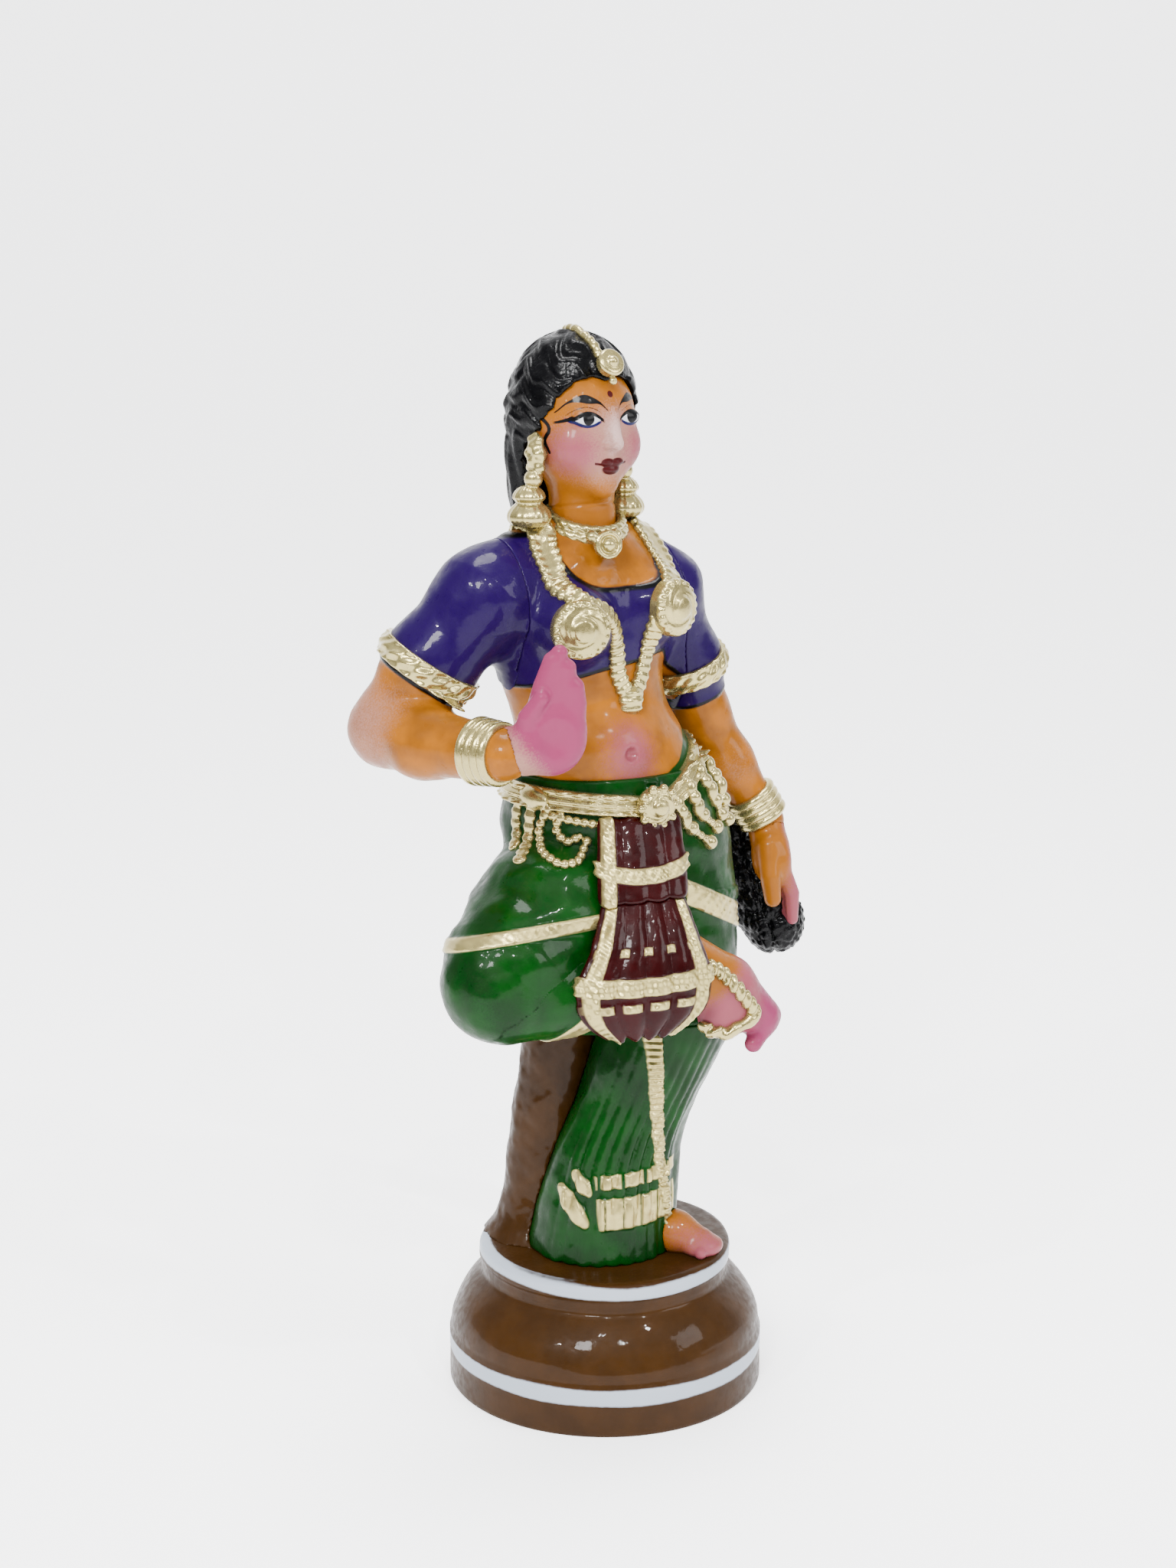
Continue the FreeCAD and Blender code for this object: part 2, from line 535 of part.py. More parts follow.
def build(doc):
    """Every sub-part of the doll, as {label: object}."""
    doll = Doll(doc)
    parts = wires_and_pegs(doll)
    pegs = [parts["leg_rod"], parts["stump_peg"]]
    parts["plinth"] = plinth(doll, pegs)
    plate = doll.add("Part::Cylinder", "base_plate")
    plate.setExpression("Radius", "Sizes.plinth_radius - Sizes.plinth_wall")
    plate.setExpression("Height", "Sizes.plate_thick")
    parts["base_plate"] = plate

    drape = doll.loft(
        "leg_drape_form",
        ["hem", "shin_cloth", "calf_cloth", "under_knee", "over_knee", "thigh_low"],
        upright=True,
    )
    hips = doll.loft(
        "hip_drape_form",
        ["thigh_low", "thigh_mid", "thigh_top", "hip_low", "hip_wide", "hip_high", "hip_rim"],
        upright=True,
    )
    parts["leg_drape"] = doll.cut("leg_drape", drape, [parts["leg_rod"]])
    parts["hip_drape"] = doll.cut("hip_drape", hips, [parts["leg_rod"]])
    stump = doll.loft(
        "stump_form", ["stump_foot", "stump_low", "stump_mid", "stump_high", "stump_top"], upright=True
    )
    parts["stump"] = doll.cut("stump", stump, [drape, hips, parts["stump_peg"]])

    thigh_loft = doll.loft("thigh_loft", ["raised_root", "raised_mid", "raised_low", "raised_knee"])
    thigh = doll.fuse("thigh_form", [thigh_loft, doll.ball("raised_knee")])
    parts["raised_thigh"] = doll.cut("raised_thigh", thigh, [hips, drape, stump])
    shin = doll.loft("shin_form", ["shin_root", "shin_mid", "shin_low", "ankle"])
    parts["raised_shin"] = doll.cut("raised_shin", shin, [thigh, hips, drape])
    foot_loft = doll.loft("raised_foot_loft", ["foot_heel", "foot_ball", "foot_toe"])
    foot = doll.fuse(
        "raised_foot_form",
        [foot_loft, doll.ball("ankle"), doll.ball("foot_heel"), doll.ball("foot_toe")],
    )
    parts["raised_foot"] = doll.cut("raised_foot", foot, [shin])
    stand_loft = doll.loft("standing_foot_loft", ["heel", "instep", "toes"])
    floor = doll.add("Part::Box", "floor_space")
    for way in ("Length", "Width"):
        floor.setExpression(way, "Sizes.foot_space")
    floor.setExpression("Height", "Sizes.plinth_height")
    floor.Placement.Base.x, floor.Placement.Base.y = FOOT_SPACE_CORNER
    parts["standing_foot"] = doll.cut("standing_foot", stand_loft, [drape, floor])

    torso_loft = doll.loft(
        "torso_loft",
        ["belly_low", "belly", "waist", "ribs", "chest", "armpits", "shoulder_line", "collar", "neck_root"],
        upright=True,
    )
    torso = doll.fuse("torso_form", [torso_loft, doll.ball("breast_right"), doll.ball("breast_left")])
    neck = doll.loft("neck_form", ["neck_low", "neck_high"], upright=True)
    face = doll.egg("face_form", "face", "Sizes.face_wide", "Sizes.face_deep", "Sizes.face_tall")
    head = doll.fuse("head_form", [neck, face])
    wires = [parts["right_arm_wire"], parts["left_arm_wire"]]
    parts["torso"] = doll.cut("torso", torso, [head, parts["neck_peg"], *wires])
    parts["head"] = doll.cut("head", head, [parts["neck_peg"]])

    skull = doll.egg("skull_form", "skull", "Sizes.skull_wide", "Sizes.skull_deep", "Sizes.skull_tall")
    back_hair = doll.loft("back_hair", ["hair_high", "hair_mid", "hair_nape", "hair_tail"], upright=True)
    hair = doll.fuse("hair_form", [skull, back_hair])
    window = doll.add("Part::Ellipsoid", "face_window")
    window.Angle1, window.Angle2, window.Angle3 = -90, 90, 360
    for number, way in enumerate(("tall", "wide", "deep"), start=1):
        window.setExpression(f"Radius{number}", f"Sizes.window_{way}")
    window.Placement.Base = point("face") + WINDOW_SHIFT
    parts["hair"] = doll.cut("hair", hair, [head, torso, window])

    plait_form = doll.fuse(
        "plait_form",
        [
            doll.loft(
                "plait_loft",
                [f"plait_{spot}" for spot in ("top", "back", "waist", "hip", "side", "low", "tassel")],
            ),
            doll.ball("plait_tassel"),
        ],
    )

    forms = {}
    for side in ("right", "left"):
        wire = parts[f"{side}_arm_wire"]
        forms[side], parts[f"{side}_arm"] = arm(doll, side, torso, wire)
        parts[f"{side}_hand"] = hand(doll, side, forms[side], wire)
        parts[f"{side}_armlet"] = band(
            doll, f"{side}_armlet", f"sleeve_{side}", f"elbow_{side}", forms[side]
        )
        parts[f"{side}_bangles"] = bangles(doll, side, forms[side])
    parts["plait"] = doll.cut(
        "plait", plait_form, [torso, hips, hair, forms["left"], parts["left_hand"]]
    )
    for side in ("right", "left"):
        parts[f"{side}_earring"] = earring(doll, side, [head, hair, torso])

    tikka = point("tikka")
    boss = doll.add("Part::Sphere", "tikka_boss")
    boss.setExpression("Radius", "Sizes.tikka_radius")
    boss.Placement.Base = tikka
    chain = doll.tube("tikka_chain", vectors(CHAIN_LINE), SIZES["chain_radius"])
    parts["forehead_ornament"] = doll.cut(
        "forehead_ornament", doll.fuse("tikka_form", [boss, chain]), [hair, head]
    )

    throat = point("neck_root")
    collar_top = throat + CHOKER_LEAN * SIZES["choker_tall"]
    collar = doll.rod("choker_ring", throat, collar_top, "Sizes.choker_radius")
    medal_front = point("pendant") + MEDAL_WAY * SIZES["medal_thick"]
    medal = doll.rod("choker_medal", point("pendant"), medal_front, "Sizes.medal_radius")
    choker = doll.fuse("choker_form", [collar, medal])
    parts["choker"] = doll.cut("choker", choker, [torso, head])

    tip = Vector(*NECKLACE_TIP)
    for side in ("right", "left"):
        inner = 1 if side == "right" else -1
        line = vectors(NECKLACE_LINES[side]) + [tip + Vector(-0.8 * inner, 0, 1.5)]
        forms[f"strand_{side}"] = doll.tube(f"{side}_strand", line, SIZES["strand_radius"])
        disc_way = Vector(-0.25 * inner, -0.97, 0.05)
        disc = doll.egg(
            f"{side}_chest_disc_form",
            f"breast_{side}",
            "Sizes.disc_radius",
            "Sizes.disc_radius",
            "Sizes.disc_rise",
            Rotation(Vector(0, 0, 1), disc_way),
        )
        for axis in "xyz":
            disc.setExpression(
                f"Placement.Base.{axis}",
                f"Form.breast_{side}_{axis} + Sizes.breast_radius * {getattr(disc_way, axis):.3f} * 0.93",
            )
        forms[f"disc_{side}"] = disc
    drop = doll.add("Part::Sphere", "necklace_drop")
    drop.setExpression("Radius", "Sizes.drop_radius")
    drop.Placement.Base = tip
    strands = doll.fuse("necklace_form", [forms["strand_right"], forms["strand_left"], drop])
    parts["long_necklace"] = doll.cut("long_necklace", strands, [torso])
    for side in ("right", "left"):
        parts[f"{side}_chest_disc"] = doll.cut(
            f"{side}_chest_disc", forms[f"disc_{side}"], [torso, strands]
        )

    belt_lines = []
    for name, rise in (("hip_high", "belt_rise_low"), ("hip_rim", "belt_rise_high")):
        line = doll.add("Part::Ellipse", f"belt_{name}")
        line.setExpression("MajorRadius", f"Form.{name}_wide + Sizes.{rise}")
        line.setExpression("MinorRadius", f"Form.{name}_deep + Sizes.{rise}")
        bind_place(line, name)
        belt_lines.append(line)
    belt_form = doll.add("Part::Loft", "belt_form")
    belt_form.Sections = belt_lines
    belt_form.Solid = True
    parts["belt"] = doll.cut("belt", belt_form, [hips, torso, plait_form])
    clasp = point("buckle")
    front = clasp - Vector(0, SIZES["buckle_thick"], 0)
    buckle = doll.rod("buckle_disc", clasp, front, "Sizes.buckle_radius")
    boss_front = clasp - Vector(0, SIZES["boss_rise"], 0)
    boss = doll.rod("buckle_boss", (clasp + front) * 0.5, boss_front, "Sizes.boss_radius")
    parts["buckle"] = doll.fuse("buckle_form", [buckle, boss])
    lie = Vector(*APRON_LIE)
    tier = doll.loft("tier_form", ["tier_top", "tier_mid", "tier_end"], upright=True, lie=lie)
    fan = doll.loft(
        "fan_form", ["fan_top", "fan_mid", "fan_wide", "fan_low", "fan_end"], upright=True, lie=lie
    )
    parts["apron_tier"] = doll.cut("apron_tier", tier, [hips, belt_form, parts["buckle"]])
    parts["apron_fan"] = doll.cut("apron_fan", fan, [tier, hips, drape, thigh, shin, foot])
    for side in ("right", "left"):
        parts[f"{side}_belt_swag"] = swag(doll, side, [hips, thigh, belt_form, tier])
    ankle, heel = point("ankle"), point("foot_heel")
    middle = (ankle + heel) * 0.5
    ring = SIZES["anklet_radius"]
    anklet = doll.hoop("anklet_ring", middle, heel - ankle, ring, "Sizes.anklet_thick")
    parts["anklet"] = doll.cut("anklet", anklet, [shin, foot, drape, hips, fan])
    return parts


def check(doc, parts):
    """Stops if any object failed or any sub-part isn't a valid closed solid."""
    for item in doc.Objects:
        if {"Invalid", "Error"} & set(item.State):
            raise SystemExit(f"{item.Label} failed: {item.State}")
    for label, item in parts.items():
        shape = item.Shape
        if shape.isNull() or not shape.isValid() or not shape.Solids:
            raise SystemExit(f"{label} has no valid solid")
        print(f"{label:20s} {len(shape.Solids):3d} solids {shape.Volume / 1000:9.2f} cm3")


def main():
    doc = FreeCAD.newDocument("DancingDoll")
    make_sheets(doc)
    parts = build(doc)
    doc.recompute()
    for label, item in parts.items():
        item.Label = label
    check(doc, parts)
    os.makedirs(OUT, exist_ok=True)
    for label, item in parts.items():
        item.Shape.exportStep(f"{OUT}/{label}.step")


main()
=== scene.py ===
"""Blender scene of the painted clay dancing doll.

Shapes are signed distance fields in millimetres, in the CAD frame, meshed with surface nets: each
piece is one closed mesh that stands for its CAD node. Paint is laid in layers, each a distance that
the mesh carries as an attribute and the material turns into an edge.
"""
import math

import bpy
import numpy as np
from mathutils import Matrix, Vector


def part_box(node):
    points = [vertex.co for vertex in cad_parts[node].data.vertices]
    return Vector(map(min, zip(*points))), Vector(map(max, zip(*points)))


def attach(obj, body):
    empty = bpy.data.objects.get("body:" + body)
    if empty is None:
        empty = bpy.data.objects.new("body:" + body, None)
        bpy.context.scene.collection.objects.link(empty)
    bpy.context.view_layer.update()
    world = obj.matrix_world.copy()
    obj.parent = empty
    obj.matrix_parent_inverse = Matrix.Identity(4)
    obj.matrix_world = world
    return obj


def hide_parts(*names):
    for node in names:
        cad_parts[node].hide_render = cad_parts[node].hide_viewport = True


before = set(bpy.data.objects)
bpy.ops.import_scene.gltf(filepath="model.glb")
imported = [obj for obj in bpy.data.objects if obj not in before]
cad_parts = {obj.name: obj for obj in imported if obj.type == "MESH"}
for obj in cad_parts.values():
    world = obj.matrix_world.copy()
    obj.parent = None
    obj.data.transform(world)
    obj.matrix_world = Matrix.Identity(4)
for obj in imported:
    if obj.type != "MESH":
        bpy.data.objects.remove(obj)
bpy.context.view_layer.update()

MM = 0.001
BLOCK = 8
CHUNK = 250000
FAR = 1e3


# ---------------------------------------------------------------- distance fields, in millimetres

def vec(*numbers):
    return np.array(numbers, np.float32)


def unit(v):
    v = np.asarray(v, np.float32)
    return v / np.linalg.norm(v)


def smin(a, b, k):
    """Smooth union over a width k."""
    h = np.clip(0.5 + 0.5 * (b - a) / k, 0, 1)
    return b + (a - b) * h - k * h * (1 - h)


def smax(a, b, k):
    return -smin(-a, -b, k)


def step_in(d, soft):
    """1 inside a distance, 0 outside, smooth over soft."""
    t = np.clip(0.5 - d / (2 * soft), 0, 1)
    return t * t * (3 - 2 * t)


def ball(p, c, r):
    return np.linalg.norm(p - vec(*c), axis=1) - r


def egg(p, c, r, axes=None):
    """Ellipsoid; axes holds its local directions as rows."""
    q = p - vec(*c)
    if axes is not None:
        q = q @ np.asarray(axes, np.float32).T
    r = vec(*r)
    k0 = np.linalg.norm(q / r, axis=1)
    k1 = np.linalg.norm(q / (r * r), axis=1)
    return k0 * (k0 - 1) / np.maximum(k1, 1e-5)


def facing(normal, up=(0, 0, 1)):
    """Local axes of something flat that faces along normal: across, outward, upward."""
    out = unit(normal)
    across = unit(np.cross(np.asarray(up, float), out))
    return np.array([across, out, np.cross(out, across)])


def limb(p, spots, radii, k=0.0):
    """A chain of tapered rods with round ends."""
    best = None
    for a, b, ra, rb in zip(spots, spots[1:], radii, radii[1:]):
        a, ab = vec(*a), vec(*b) - vec(*a)
        t = np.clip((p - a) @ ab / (ab @ ab), 0, 1)
        d = np.linalg.norm(p - a - t[:, None] * ab, axis=1) - (ra + (rb - ra) * t)
        best = d if best is None else (smin(best, d, k) if k else np.minimum(best, d))
    return best


def route(spots, count=24):
    """A smooth line through the spots, as many short runs."""
    spots = np.array(spots, float)
    at = np.arange(len(spots), dtype=float)
    fine = np.linspace(0, len(spots) - 1, count)
    return np.stack([curve(fine, at, spots[:, i]) for i in range(3)], 1)


def along(p, line):
    """Distance from a line, and how far along it the nearest point is."""
    best = np.full(len(p), FAR, np.float32)
    where = np.zeros(len(p), np.float32)
    start = 0.0
    for a, b in zip(line, line[1:]):
        a, ab = a.astype(np.float32), (b - a).astype(np.float32)
        length = float(np.linalg.norm(ab))
        t = np.clip((p - a) @ ab / (length * length + 1e-9), 0, 1)
        d = np.linalg.norm(p - a - t[:, None] * ab, axis=1)
        near = d < best
        best[near] = d[near]
        where[near] = start + t[near] * length
        start += length
    return best, where


def beads(p, line, radius, pitch):
    """Round beads strung on a line."""
    off, where = along(p, line)
    s = where - pitch * np.round(where / pitch)
    return np.sqrt(off * off + s * s) - radius


def ring(p, centre, normal, radius, thick):
    q = p - vec(*centre)
    n = unit(normal)
    h = q @ n
    flat = np.sqrt(np.maximum((q * q).sum(1) - h * h, 0))
    return np.sqrt((flat - radius) ** 2 + h * h) - thick


def curve(x, xs, ys):
    """Smooth interpolation through the points."""
    slope = np.gradient(ys, xs)
    i = np.clip(np.searchsorted(xs, x) - 1, 0, len(xs) - 2)
    w = xs[i + 1] - xs[i]
    t = (x - xs[i]) / w
    return (
        (2 * t**3 - 3 * t**2 + 1) * ys[i]
        + (t**3 - 2 * t**2 + t) * w * slope[i]
        + (3 * t**2 - 2 * t**3) * ys[i + 1]
        + (t**3 - t**2) * w * slope[i + 1]
    )


def loft_place(p, rows):
    """Across and depth shares of a stack of level ellipses, and the rows' sizes at each point."""
    rows = np.array(rows, float)
    z = np.clip(p[:, 2], rows[0, 0], rows[-1, 0])
    x, y, wide, deep = (curve(z, rows[:, 0], rows[:, i]) for i in (1, 2, 3, 4))
    return (p[:, 0] - x), (p[:, 1] - y), wide, deep


def loft(p, rows, k=2.0):
    """A stack of level ellipses: rows of height, x, y, half width, half depth, lowest first."""
    qx, qy, wide, deep = loft_place(p, rows)
    k0 = np.sqrt((qx / wide) ** 2 + (qy / deep) ** 2)
    k1 = np.sqrt((qx / wide**2) ** 2 + (qy / deep**2) ** 2)
    d = k0 * (k0 - 1) / np.maximum(k1, 1e-5)
    return smax(d, smax(p[:, 2] - rows[-1][0], rows[0][0] - p[:, 2], 0.1), k)


def lumps(p, size, seed):
    """Gentle unevenness of hand-pressed clay, about -1 to 1."""
    a, b, c = (p[:, i] * (2 * math.pi / size) for i in range(3))
    return (
        np.sin(a + 1.7 * np.sin(0.8 * b + seed))
        + np.sin(b * 1.1 + 1.5 * np.sin(0.9 * c + 2 * seed))
        + np.sin(c * 0.9 + 1.6 * np.sin(0.7 * a + 3 * seed))
    ) / 3


# ---------------------------------------------------------------- meshing

def sample(field, lo, hi, step):
    """The field on a grid, worked out only in blocks that the surface may cross."""
    blocks = np.ceil((hi - lo) / (step * BLOCK)).astype(int) + 1
    index = np.stack(np.meshgrid(*[np.arange(n) for n in blocks], indexing="ij"), -1).reshape(-1, 3)
    centres = (lo + (index + 0.5) * BLOCK * step).astype(np.float32)
    rough = run(field, centres)
    reach = step * BLOCK * 0.87 * 1.5 + 1.0
    coarse = np.where(rough < 0, -FAR, FAR).astype(np.float32).reshape(blocks)
    grid = np.repeat(np.repeat(np.repeat(coarse, BLOCK, 0), BLOCK, 1), BLOCK, 2)
    inner = np.stack(np.meshgrid(*[np.arange(BLOCK)] * 3, indexing="ij"), -1).reshape(-1, 3)
    near = index[np.abs(rough) < reach]
    cells = (near[:, None, :] * BLOCK + inner[None]).reshape(-1, 3)
    grid[tuple(cells.T)] = run(field, (lo + cells * step).astype(np.float32))
    return grid


def run(field, points):
    out = np.empty(len(points), np.float32)
    for i in range(0, len(points), CHUNK):
        out[i : i + CHUNK] = field(points[i : i + CHUNK])
    return out


def surface_nets(grid, lo, step):
    """One point in each cell that the surface crosses, joined into quads."""
    inside = grid < 0
    corners = [np.array([i, j, k]) for i in (0, 1) for j in (0, 1) for k in (0, 1)]
    nx, ny, nz = (n - 1 for n in grid.shape)
    count = sum(inside[c[0] : nx + c[0], c[1] : ny + c[1], c[2] : nz + c[2]].astype(np.int8) for c in corners)
    cells = np.argwhere((count > 0) & (count < 8))
    number = np.full((nx, ny, nz), -1, np.int32)
    number[tuple(cells.T)] = np.arange(len(cells))
    total = np.zeros((len(cells), 3))
    hits = np.zeros(len(cells))
    for a in corners:
        for axis in range(3):
            if a[axis]:
                continue
            b = a.copy()
            b[axis] = 1
            va, vb = grid[tuple((cells + a).T)], grid[tuple((cells + b).T)]
            cross = (va < 0) != (vb < 0)
            t = np.clip(va[cross] / (va[cross] - vb[cross]), 0, 1)
            total[cross] += a + t[:, None] * (b - a)
            hits[cross] += 1
    points = lo + step * (cells + total / hits[:, None])
    quads = []
    for axis in range(3):
        u, v = (axis + 1) % 3, (axis + 2) % 3
        shift = [slice(None)] * 3
        ahead = [slice(None)] * 3
        shift[axis], ahead[axis] = slice(0, -1), slice(1, None)
        here, there = inside[tuple(shift)], inside[tuple(ahead)]
        at = np.argwhere(here != there)
        at = at[(at[:, u] > 0) & (at[:, v] > 0)]
        eu, ev = np.eye(3, dtype=int)[u], np.eye(3, dtype=int)[v]
        four = np.stack(
            [number[tuple((at - s).T)] for s in (eu * 0, eu, eu + ev, ev)], 1
        )
        flip = ~here[tuple(at.T)]
        four[flip] = four[flip][:, ::-1]
        quads.append(four[(four >= 0).all(1)])
    return points, np.concatenate(quads)


def settle(field, points, rounds=2, reach=0.4):
    """Moves points onto the surface."""
    eps = 0.08
    for _ in range(rounds):
        value = run(field, points.astype(np.float32))
        slope = np.stack(
            [
                (run(field, (points + e).astype(np.float32)) - run(field, (points - e).astype(np.float32)))
                for e in np.eye(3) * eps
            ],
            1,
        ) / (2 * eps)
        size = np.maximum((slope**2).sum(1), 0.15)
        move = slope * (value / size)[:, None]
        length = np.linalg.norm(move, axis=1)
        points = points - move * np.minimum(1, reach / np.maximum(length, 1e-6))[:, None]
    return points


def new_object(name, points, faces, smooth=True):
    """A mesh object in metres from points in millimetres and equal-sided faces."""
    mesh = bpy.data.meshes.new(name)
    sides = faces.shape[1]
    mesh.vertices.add(len(points))
    mesh.vertices.foreach_set("co", (np.asarray(points) * MM).astype(np.float32).ravel())
    mesh.loops.add(faces.size)
    mesh.loops.foreach_set("vertex_index", faces.astype(np.int32).ravel())
    mesh.polygons.add(len(faces))
    mesh.polygons.foreach_set("loop_start", np.arange(len(faces), dtype=np.int32) * sides)
    mesh.polygons.foreach_set("loop_total", np.full(len(faces), sides, np.int32))
    mesh.polygons.foreach_set("use_smooth", np.full(len(faces), smooth))
    mesh.update(calc_edges=True)
    item = bpy.data.objects.new(name, mesh)
    bpy.context.scene.collection.objects.link(item)
    return item


def add_layers(item, points, layers):
    """Stores each paint layer's distance on the mesh."""
    for i, layer in enumerate(layers):
        attribute = item.data.attributes.new(f"layer_{i}", "FLOAT", "POINT")
        attribute.data.foreach_set("value", run(layer[2], np.asarray(points, np.float32)))


def sculpt(name, field, lo, hi, step, nodes, paint, layers=()):
    """One finished piece: its mesh, its paint, its body and the CAD node that it stands for."""
    lo, hi = np.array(lo, float) - 2 * step, np.array(hi, float) + 2 * step
    points, quads = surface_nets(sample(field, lo, hi, step), lo, step)
    points = settle(field, points)
    item = new_object(name, points, quads)
    finish(item, points, nodes, paint, layers)
    return item


def finish(item, points, nodes, paint, layers=()):
    add_layers(item, points, layers)
    item.data.materials.append(painted(item.name, paint, layers))
    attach(item, "root")
    if nodes:
        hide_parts(*nodes)


# ---------------------------------------------------------------- materials

BROWN = (0.025, 0.0100, 0.0018)
WHITE = (0.29, 0.325, 0.375)
GREEN = (0.0003, 0.023, 0.0010)
DARK_GREEN = (0.0001, 0.0090, 0.0010)
MAROON = (0.0145, 0.0001, 0.0003)
INDIGO = (0.0068, 0.0003, 0.032)
ORANGE = (0.190, 0.060, 0.002)
PINK = (0.185, 0.042, 0.058)
PALE = (0.235, 0.115, 0.088)
HOT_PINK = (0.165, 0.021, 0.060)
BLACK = (0.0007, 0.0007, 0.0010)
GOLD = (0.38, 0.315, 0.125)
BLUE = (0.001, 0.002, 0.035)
LIP_RED = (0.028, 0.0004, 0.0008)
EYE_WHITE = (0.42, 0.42, 0.44)
# Painted highlight: a pale colour laid on the bridge of the nose to stand in for light.
NOSE_HIGHLIGHT = (0.34, 0.22, 0.20)

# Each finish: roughness, coat, height and size of its small bumps in millimetres, colour unevenness.
FINISHES = {
    "varnish": dict(rough=0.36, coat=0.12, shine=0.05, lift=0.10, grain=2.4, uneven=0.30),
    "skin": dict(rough=0.45, coat=0.10, shine=0.07, lift=0.03, grain=1.2, uneven=0.08),
    "hair": dict(rough=0.32, coat=0.12, shine=0.03, lift=0.18, grain=1.2, uneven=0.2),
    "gold": dict(rough=0.22, coat=0.10, shine=0.5, lift=0.06, grain=1.2, uneven=0.12),
    "bark": dict(rough=0.40, coat=0.12, shine=0.04, lift=0.05, grain=2.0, uneven=0.16),
}


class Nodes:
    """Short names for building a material."""

    def __init__(self, material):
        material.use_nodes = True
        self.tree = material.node_tree
        self.tree.nodes.clear()

    def add(self, kind, **values):
        node = self.tree.nodes.new(kind)
        for key, value in values.items():
            setattr(node, key, value)
        return node

    def link(self, out, into):
        self.tree.links.new(out, into)

    def noise(self, size_mm, detail=2.0):
        """Noise with features of about a size, in object space."""
        place = self.add("ShaderNodeTexCoord")
        noise = self.add("ShaderNodeTexNoise")
        noise.inputs["Scale"].default_value = 1.0 / (size_mm * MM)
        noise.inputs["Detail"].default_value = detail
        self.link(place.outputs["Object"], noise.inputs["Vector"])
        return noise.outputs["Fac"]

    def ramp(self, value, low, high, to_low=0.0, to_high=1.0):
        node = self.add("ShaderNodeMapRange", interpolation_type="SMOOTHSTEP")
        for name, number in (("From Min", low), ("From Max", high), ("To Min", to_low), ("To Max", to_high)):
            node.inputs[name].default_value = number
        self.link(value, node.inputs["Value"])
        return node.outputs["Result"]

    def math(self, kind, a, b):
        node = self.add("ShaderNodeMath", operation=kind)
        for socket, value in zip(node.inputs, (a, b)):
            if isinstance(value, (int, float)):
                socket.default_value = value
            else:
                self.link(value, socket)
        return node.outputs[0]

    def mix(self, share, a, b, blend="MIX"):
        """A colour mixed over another; either may be a fixed colour."""
        node = self.add("ShaderNodeMix", data_type="RGBA", blend_type=blend)
        for socket, value in ((node.inputs[0], share), (node.inputs[6], a), (node.inputs[7], b)):
            if isinstance(value, (int, float)):
                socket.default_value = value
            elif isinstance(value, tuple):
                socket.default_value = (*value, 1.0)
            else:
                self.link(value, socket)
        return node.outputs[2]


def painted(name, paint, layers):
    """A varnished paint with layers over it: each layer is (colour, softness in mm, distance)."""
    colour, kind = paint
    look = FINISHES[kind]
    material = bpy.data.materials.new(f"{name}_paint")
    n = Nodes(material)
    patches = n.ramp(n.noise(9.0, 3.0), 0.30, 0.72)
    fine = n.noise(look["grain"], 3.0)
    speck = n.noise(0.45, 1.0)
    dark = tuple(c * (1 - look["uneven"]) for c in colour)
    light = tuple(min(1.0, c * (1 + look["uneven"] * 0.7)) for c in colour)
    base = n.mix(patches, dark, light)
    metal = 1.0 if colour == GOLD else 0.0
    for i, (tint, soft, _) in enumerate(layers):
        source = n.add("ShaderNodeAttribute", attribute_name=f"layer_{i}").outputs["Fac"]
        if soft > 1.0:
            source = n.math("ADD", source, n.math("MULTIPLY", n.math("SUBTRACT", speck, 0.5), soft * 1.6))
        else:
            source = n.math("ADD", source, n.math("MULTIPLY", n.math("SUBTRACT", fine, 0.5), soft))
        share = n.ramp(source, soft, -soft)
        if tint == GOLD:
            metal = n.math("MAXIMUM", metal, share)
        elif not isinstance(metal, float):
            metal = n.math("MULTIPLY", metal, n.math("SUBTRACT", 1.0, share))
        base = n.mix(share, base, tint)
    shader = n.add("ShaderNodeBsdfPrincipled")
    n.link(base, shader.inputs["Base Color"])
    if isinstance(metal, float):
        shader.inputs["Metallic"].default_value = 0.85 * metal
    else:
        n.link(n.math("MULTIPLY", metal, 0.85), shader.inputs["Metallic"])
    n.link(n.ramp(fine, 0.3, 0.7, look["rough"] * 0.75, look["rough"] * 1.3), shader.inputs["Roughness"])
    shader.inputs["Specular IOR Level"].default_value = look["shine"]
    shader.inputs["Coat Weight"].default_value = look["coat"]
    shader.inputs["Coat Roughness"].default_value = 0.05
    bump = n.add("ShaderNodeBump")
    bump.inputs["Strength"].default_value = 1.0
    bump.inputs["Distance"].default_value = look["lift"] * MM
    n.link(fine, bump.inputs["Height"])
    n.link(bump.outputs["Normal"], shader.inputs["Normal"])
    n.link(bump.outputs["Normal"], shader.inputs["Coat Normal"])
    out = n.add("ShaderNodeOutputMaterial")
    n.link(shader.outputs[0], out.inputs["Surface"])
    return material


# ---------------------------------------------------------------- the clay: rows of z, x, y, wide, deep

